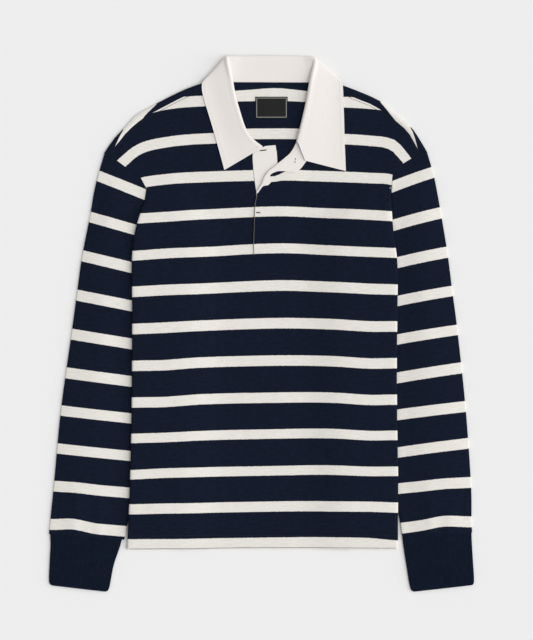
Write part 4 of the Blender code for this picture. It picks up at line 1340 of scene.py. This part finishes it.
def label_finish():
    """Damask label: near-black satin weave with a thin grey woven frame, left blank inside."""
    material, tree, shader = new_finish("polyester_damask", LABEL_BLACK, "damask")
    place, across, upwards, _ = weave_place(tree)
    low_x, low_y, high_x, high_y = LABEL_BOX
    inside = {}
    for key, (source, size) in enumerate(((across, high_x - low_x), (upwards, high_y - low_y))):
        centred = add(tree, "Math", {0: source, 1: size / 2}, operation="SUBTRACT")
        off = add(tree, "Math", {0: centred}, operation="ABSOLUTE")
        inside[key] = add(tree, "Math", {0: size / 2, 1: off}, operation="SUBTRACT")
    nearest = add(tree, "Math", inside, operation="MINIMUM")
    middle, half = sum(LABEL_FRAME) / 2, (LABEL_FRAME[1] - LABEL_FRAME[0]) / 2
    off_line = add(tree, "Math", {0: nearest, 1: middle}, operation="SUBTRACT")
    distance = add(tree, "Math", {0: off_line}, operation="ABSOLUTE")
    framed = add(tree, "MapRange", {"Value": distance, "From Min": half - FRAME_SOFT,
                                    "From Max": half + FRAME_SOFT})
    colour = between(tree, framed, linear(FRAME_GREY), linear(LABEL_BLACK))
    satin = repeat(tree, upwards, SATIN_PITCH)
    dress(tree, shader, tinted(tree, colour, mottle(tree, place, "damask")), "damask", satin)
    return material


def even_finish(name, colour, kind):
    """A finish without a weave: spun thread with a soft gloss, the grey of the lines of painted shade,
    or matt seamless paper.
    """
    material, tree, shader = new_finish(name, colour, kind)
    place = add(tree, "TexCoord", out="Object")
    dress(tree, shader, tinted(tree, linear(colour), mottle(tree, place, kind)))
    return material


# Floor, light and camera

def build_floor():
    """A wide sheet of paper just under the shirt."""
    bm = bmesh.new()
    bmesh.ops.create_grid(bm, x_segments=FLOOR_SQUARES, y_segments=FLOOR_SQUARES, size=FLOOR_HALF)
    mesh = bpy.data.meshes.new("floor")
    bm.to_mesh(mesh)
    bm.free()
    mesh.materials.append(even_finish("seamless_paper", PAPER, "paper"))
    floor = bpy.data.objects.new("floor", mesh)
    floor.location.z = -FLOOR_DROP * MM
    bpy.context.scene.collection.objects.link(floor)


def build_light():
    """A bright even room, a soft lamp high on the right and a lower one beside it."""
    scene = bpy.context.scene
    scene.view_settings.view_transform = "Standard"
    world = bpy.data.worlds.new("studio")
    world.use_nodes = True
    background = world.node_tree.nodes["Background"]
    background.inputs["Color"].default_value = (1, 1, 1, 1)
    background.inputs["Strength"].default_value = ROOM_LIGHT
    scene.world = world
    for name, power, spread, direction in LAMPS:
        lamp = bpy.data.lights.new(name, "SUN")
        lamp.energy = power
        lamp.angle = math.radians(spread)
        holder = bpy.data.objects.new(name, lamp)
        holder.rotation_euler = Vector(direction).to_track_quat("Z", "Y").to_euler()
        scene.collection.objects.link(holder)


def build_camera():
    """A long lens straight above, its frame as tall as FRAME_HEIGHT."""
    lens = bpy.data.cameras.new("camera")
    lens.lens = LENS
    lens.sensor_fit = "AUTO"
    lens.clip_end = CLIP_END
    camera = bpy.data.objects.new("camera", lens)
    height = FRAME_HEIGHT * MM * LENS / lens.sensor_width
    camera.location = (VIEW_CENTRE[0] * MM, VIEW_CENTRE[1] * MM, height)
    bpy.context.scene.collection.objects.link(camera)
    bpy.context.scene.camera = camera


# The whole shirt

def collar_runs():
    """Lines of stitches along both parts of the collar's edge, and one across its left end."""
    rows = refine(COLLAR, COLLAR_STEPS)
    runs = [[shifted(row[4:6], row[2:4], COLLAR_EDGE) for row in rows[start:end]]
            for start, end in COLLAR_STITCHED]
    roll, edge = COLLAR[0][2:4], COLLAR[0][4:6]
    ends = shifted(roll, edge, COLLAR_END[0]), shifted(edge, roll, COLLAR_END[1])
    return runs + [[(x + COLLAR_END_SHIFT[0], y + COLLAR_END_SHIFT[1]) for x, y in ends]]


def sew_pieces(front, collar, under, facing):
    """The stitching and the grey lines of painted shade: what lies on the front, and the collar's
    stitches.
    """
    navy = even_finish("polyester_thread_navy", NAVY, "thread")
    pale = even_finish("polyester_thread_pale", THREAD_WHITE, "thread")
    # a grey finish, made like thread, for the lines of painted shade
    painted_shade = even_finish("edge_line_painted_shade", PAINTED_SHADE_GREY, "thread")
    brown = even_finish("polyester_thread_brown", BUTTONHOLE_BROWN, "thread")
    on_front = surface_of(front)
    y = HEM_Y + HEM_DEPTH
    hem_run = [(fold_at("left", y) + HEM_ENDS, y), (fold_at("right", y) - HEM_ENDS, y)]
    seams = [[shifted(seam, fold, -SEAM_STITCHES) for seam, fold in seam_stations(side)[:-1]]
             for side in SIDES]
    lip_run = [(x + EDGE_INSET, y) for x, y in (EDGE_FOOT, *RIGHT_LIP[1:5])]
    hem = sew("hem_stitching", [hem_run], on_front, navy, "seam")
    joins = sew("seam_stitching", seams, on_front, navy, "seam")
    collar_seams = sew("collar_stitching", collar_runs(), surface_of(collar), pale,
                       "collar")
    # not thread: grey lines of painted shade along the lapping edge, with its pale edge, and along the
    # hem's turn
    edges = sew("painted_shade_lines", [lip_run, HEM_SHADE_LINE], on_front, painted_shade, "edge")
    buttonholes = sew("buttonholes", BUTTONHOLES, surface_of(front, under, facing, collar), brown,
                      "buttonhole")
    return [hem, joins, edges, buttonholes], [collar_seams]


def main():
    """Makes the pieces of cloth, sews them, and sets up the floor, the light and the camera."""
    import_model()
    jersey, rib_knit = jersey_finish(), rib_finish()
    twill = twill_finish("cotton_twill", TWILL_WHITE)
    # the same twill, darker by painted shade, for the under placket that lies low under the lap
    placket_twill_painted_shade = twill_finish("cotton_twill_painted_shade", PLACKET_WHITE_IN_SHADE)

    back = build_back(jersey)
    front = build_front(jersey)
    sleeves = {side: build_sleeve(side, jersey) for side in SIDES}
    cuffs = {side: build_cuff(side, rib_knit) for side in SIDES}
    collar = build_collar(twill)
    under = build_under_placket(placket_twill_painted_shade)
    facing = build_facing(twill)
    label = build_label(label_finish())
    on_front, on_collar = sew_pieces(front, collar, under, facing)

    build_floor()

    build_light()
    build_camera()


main()
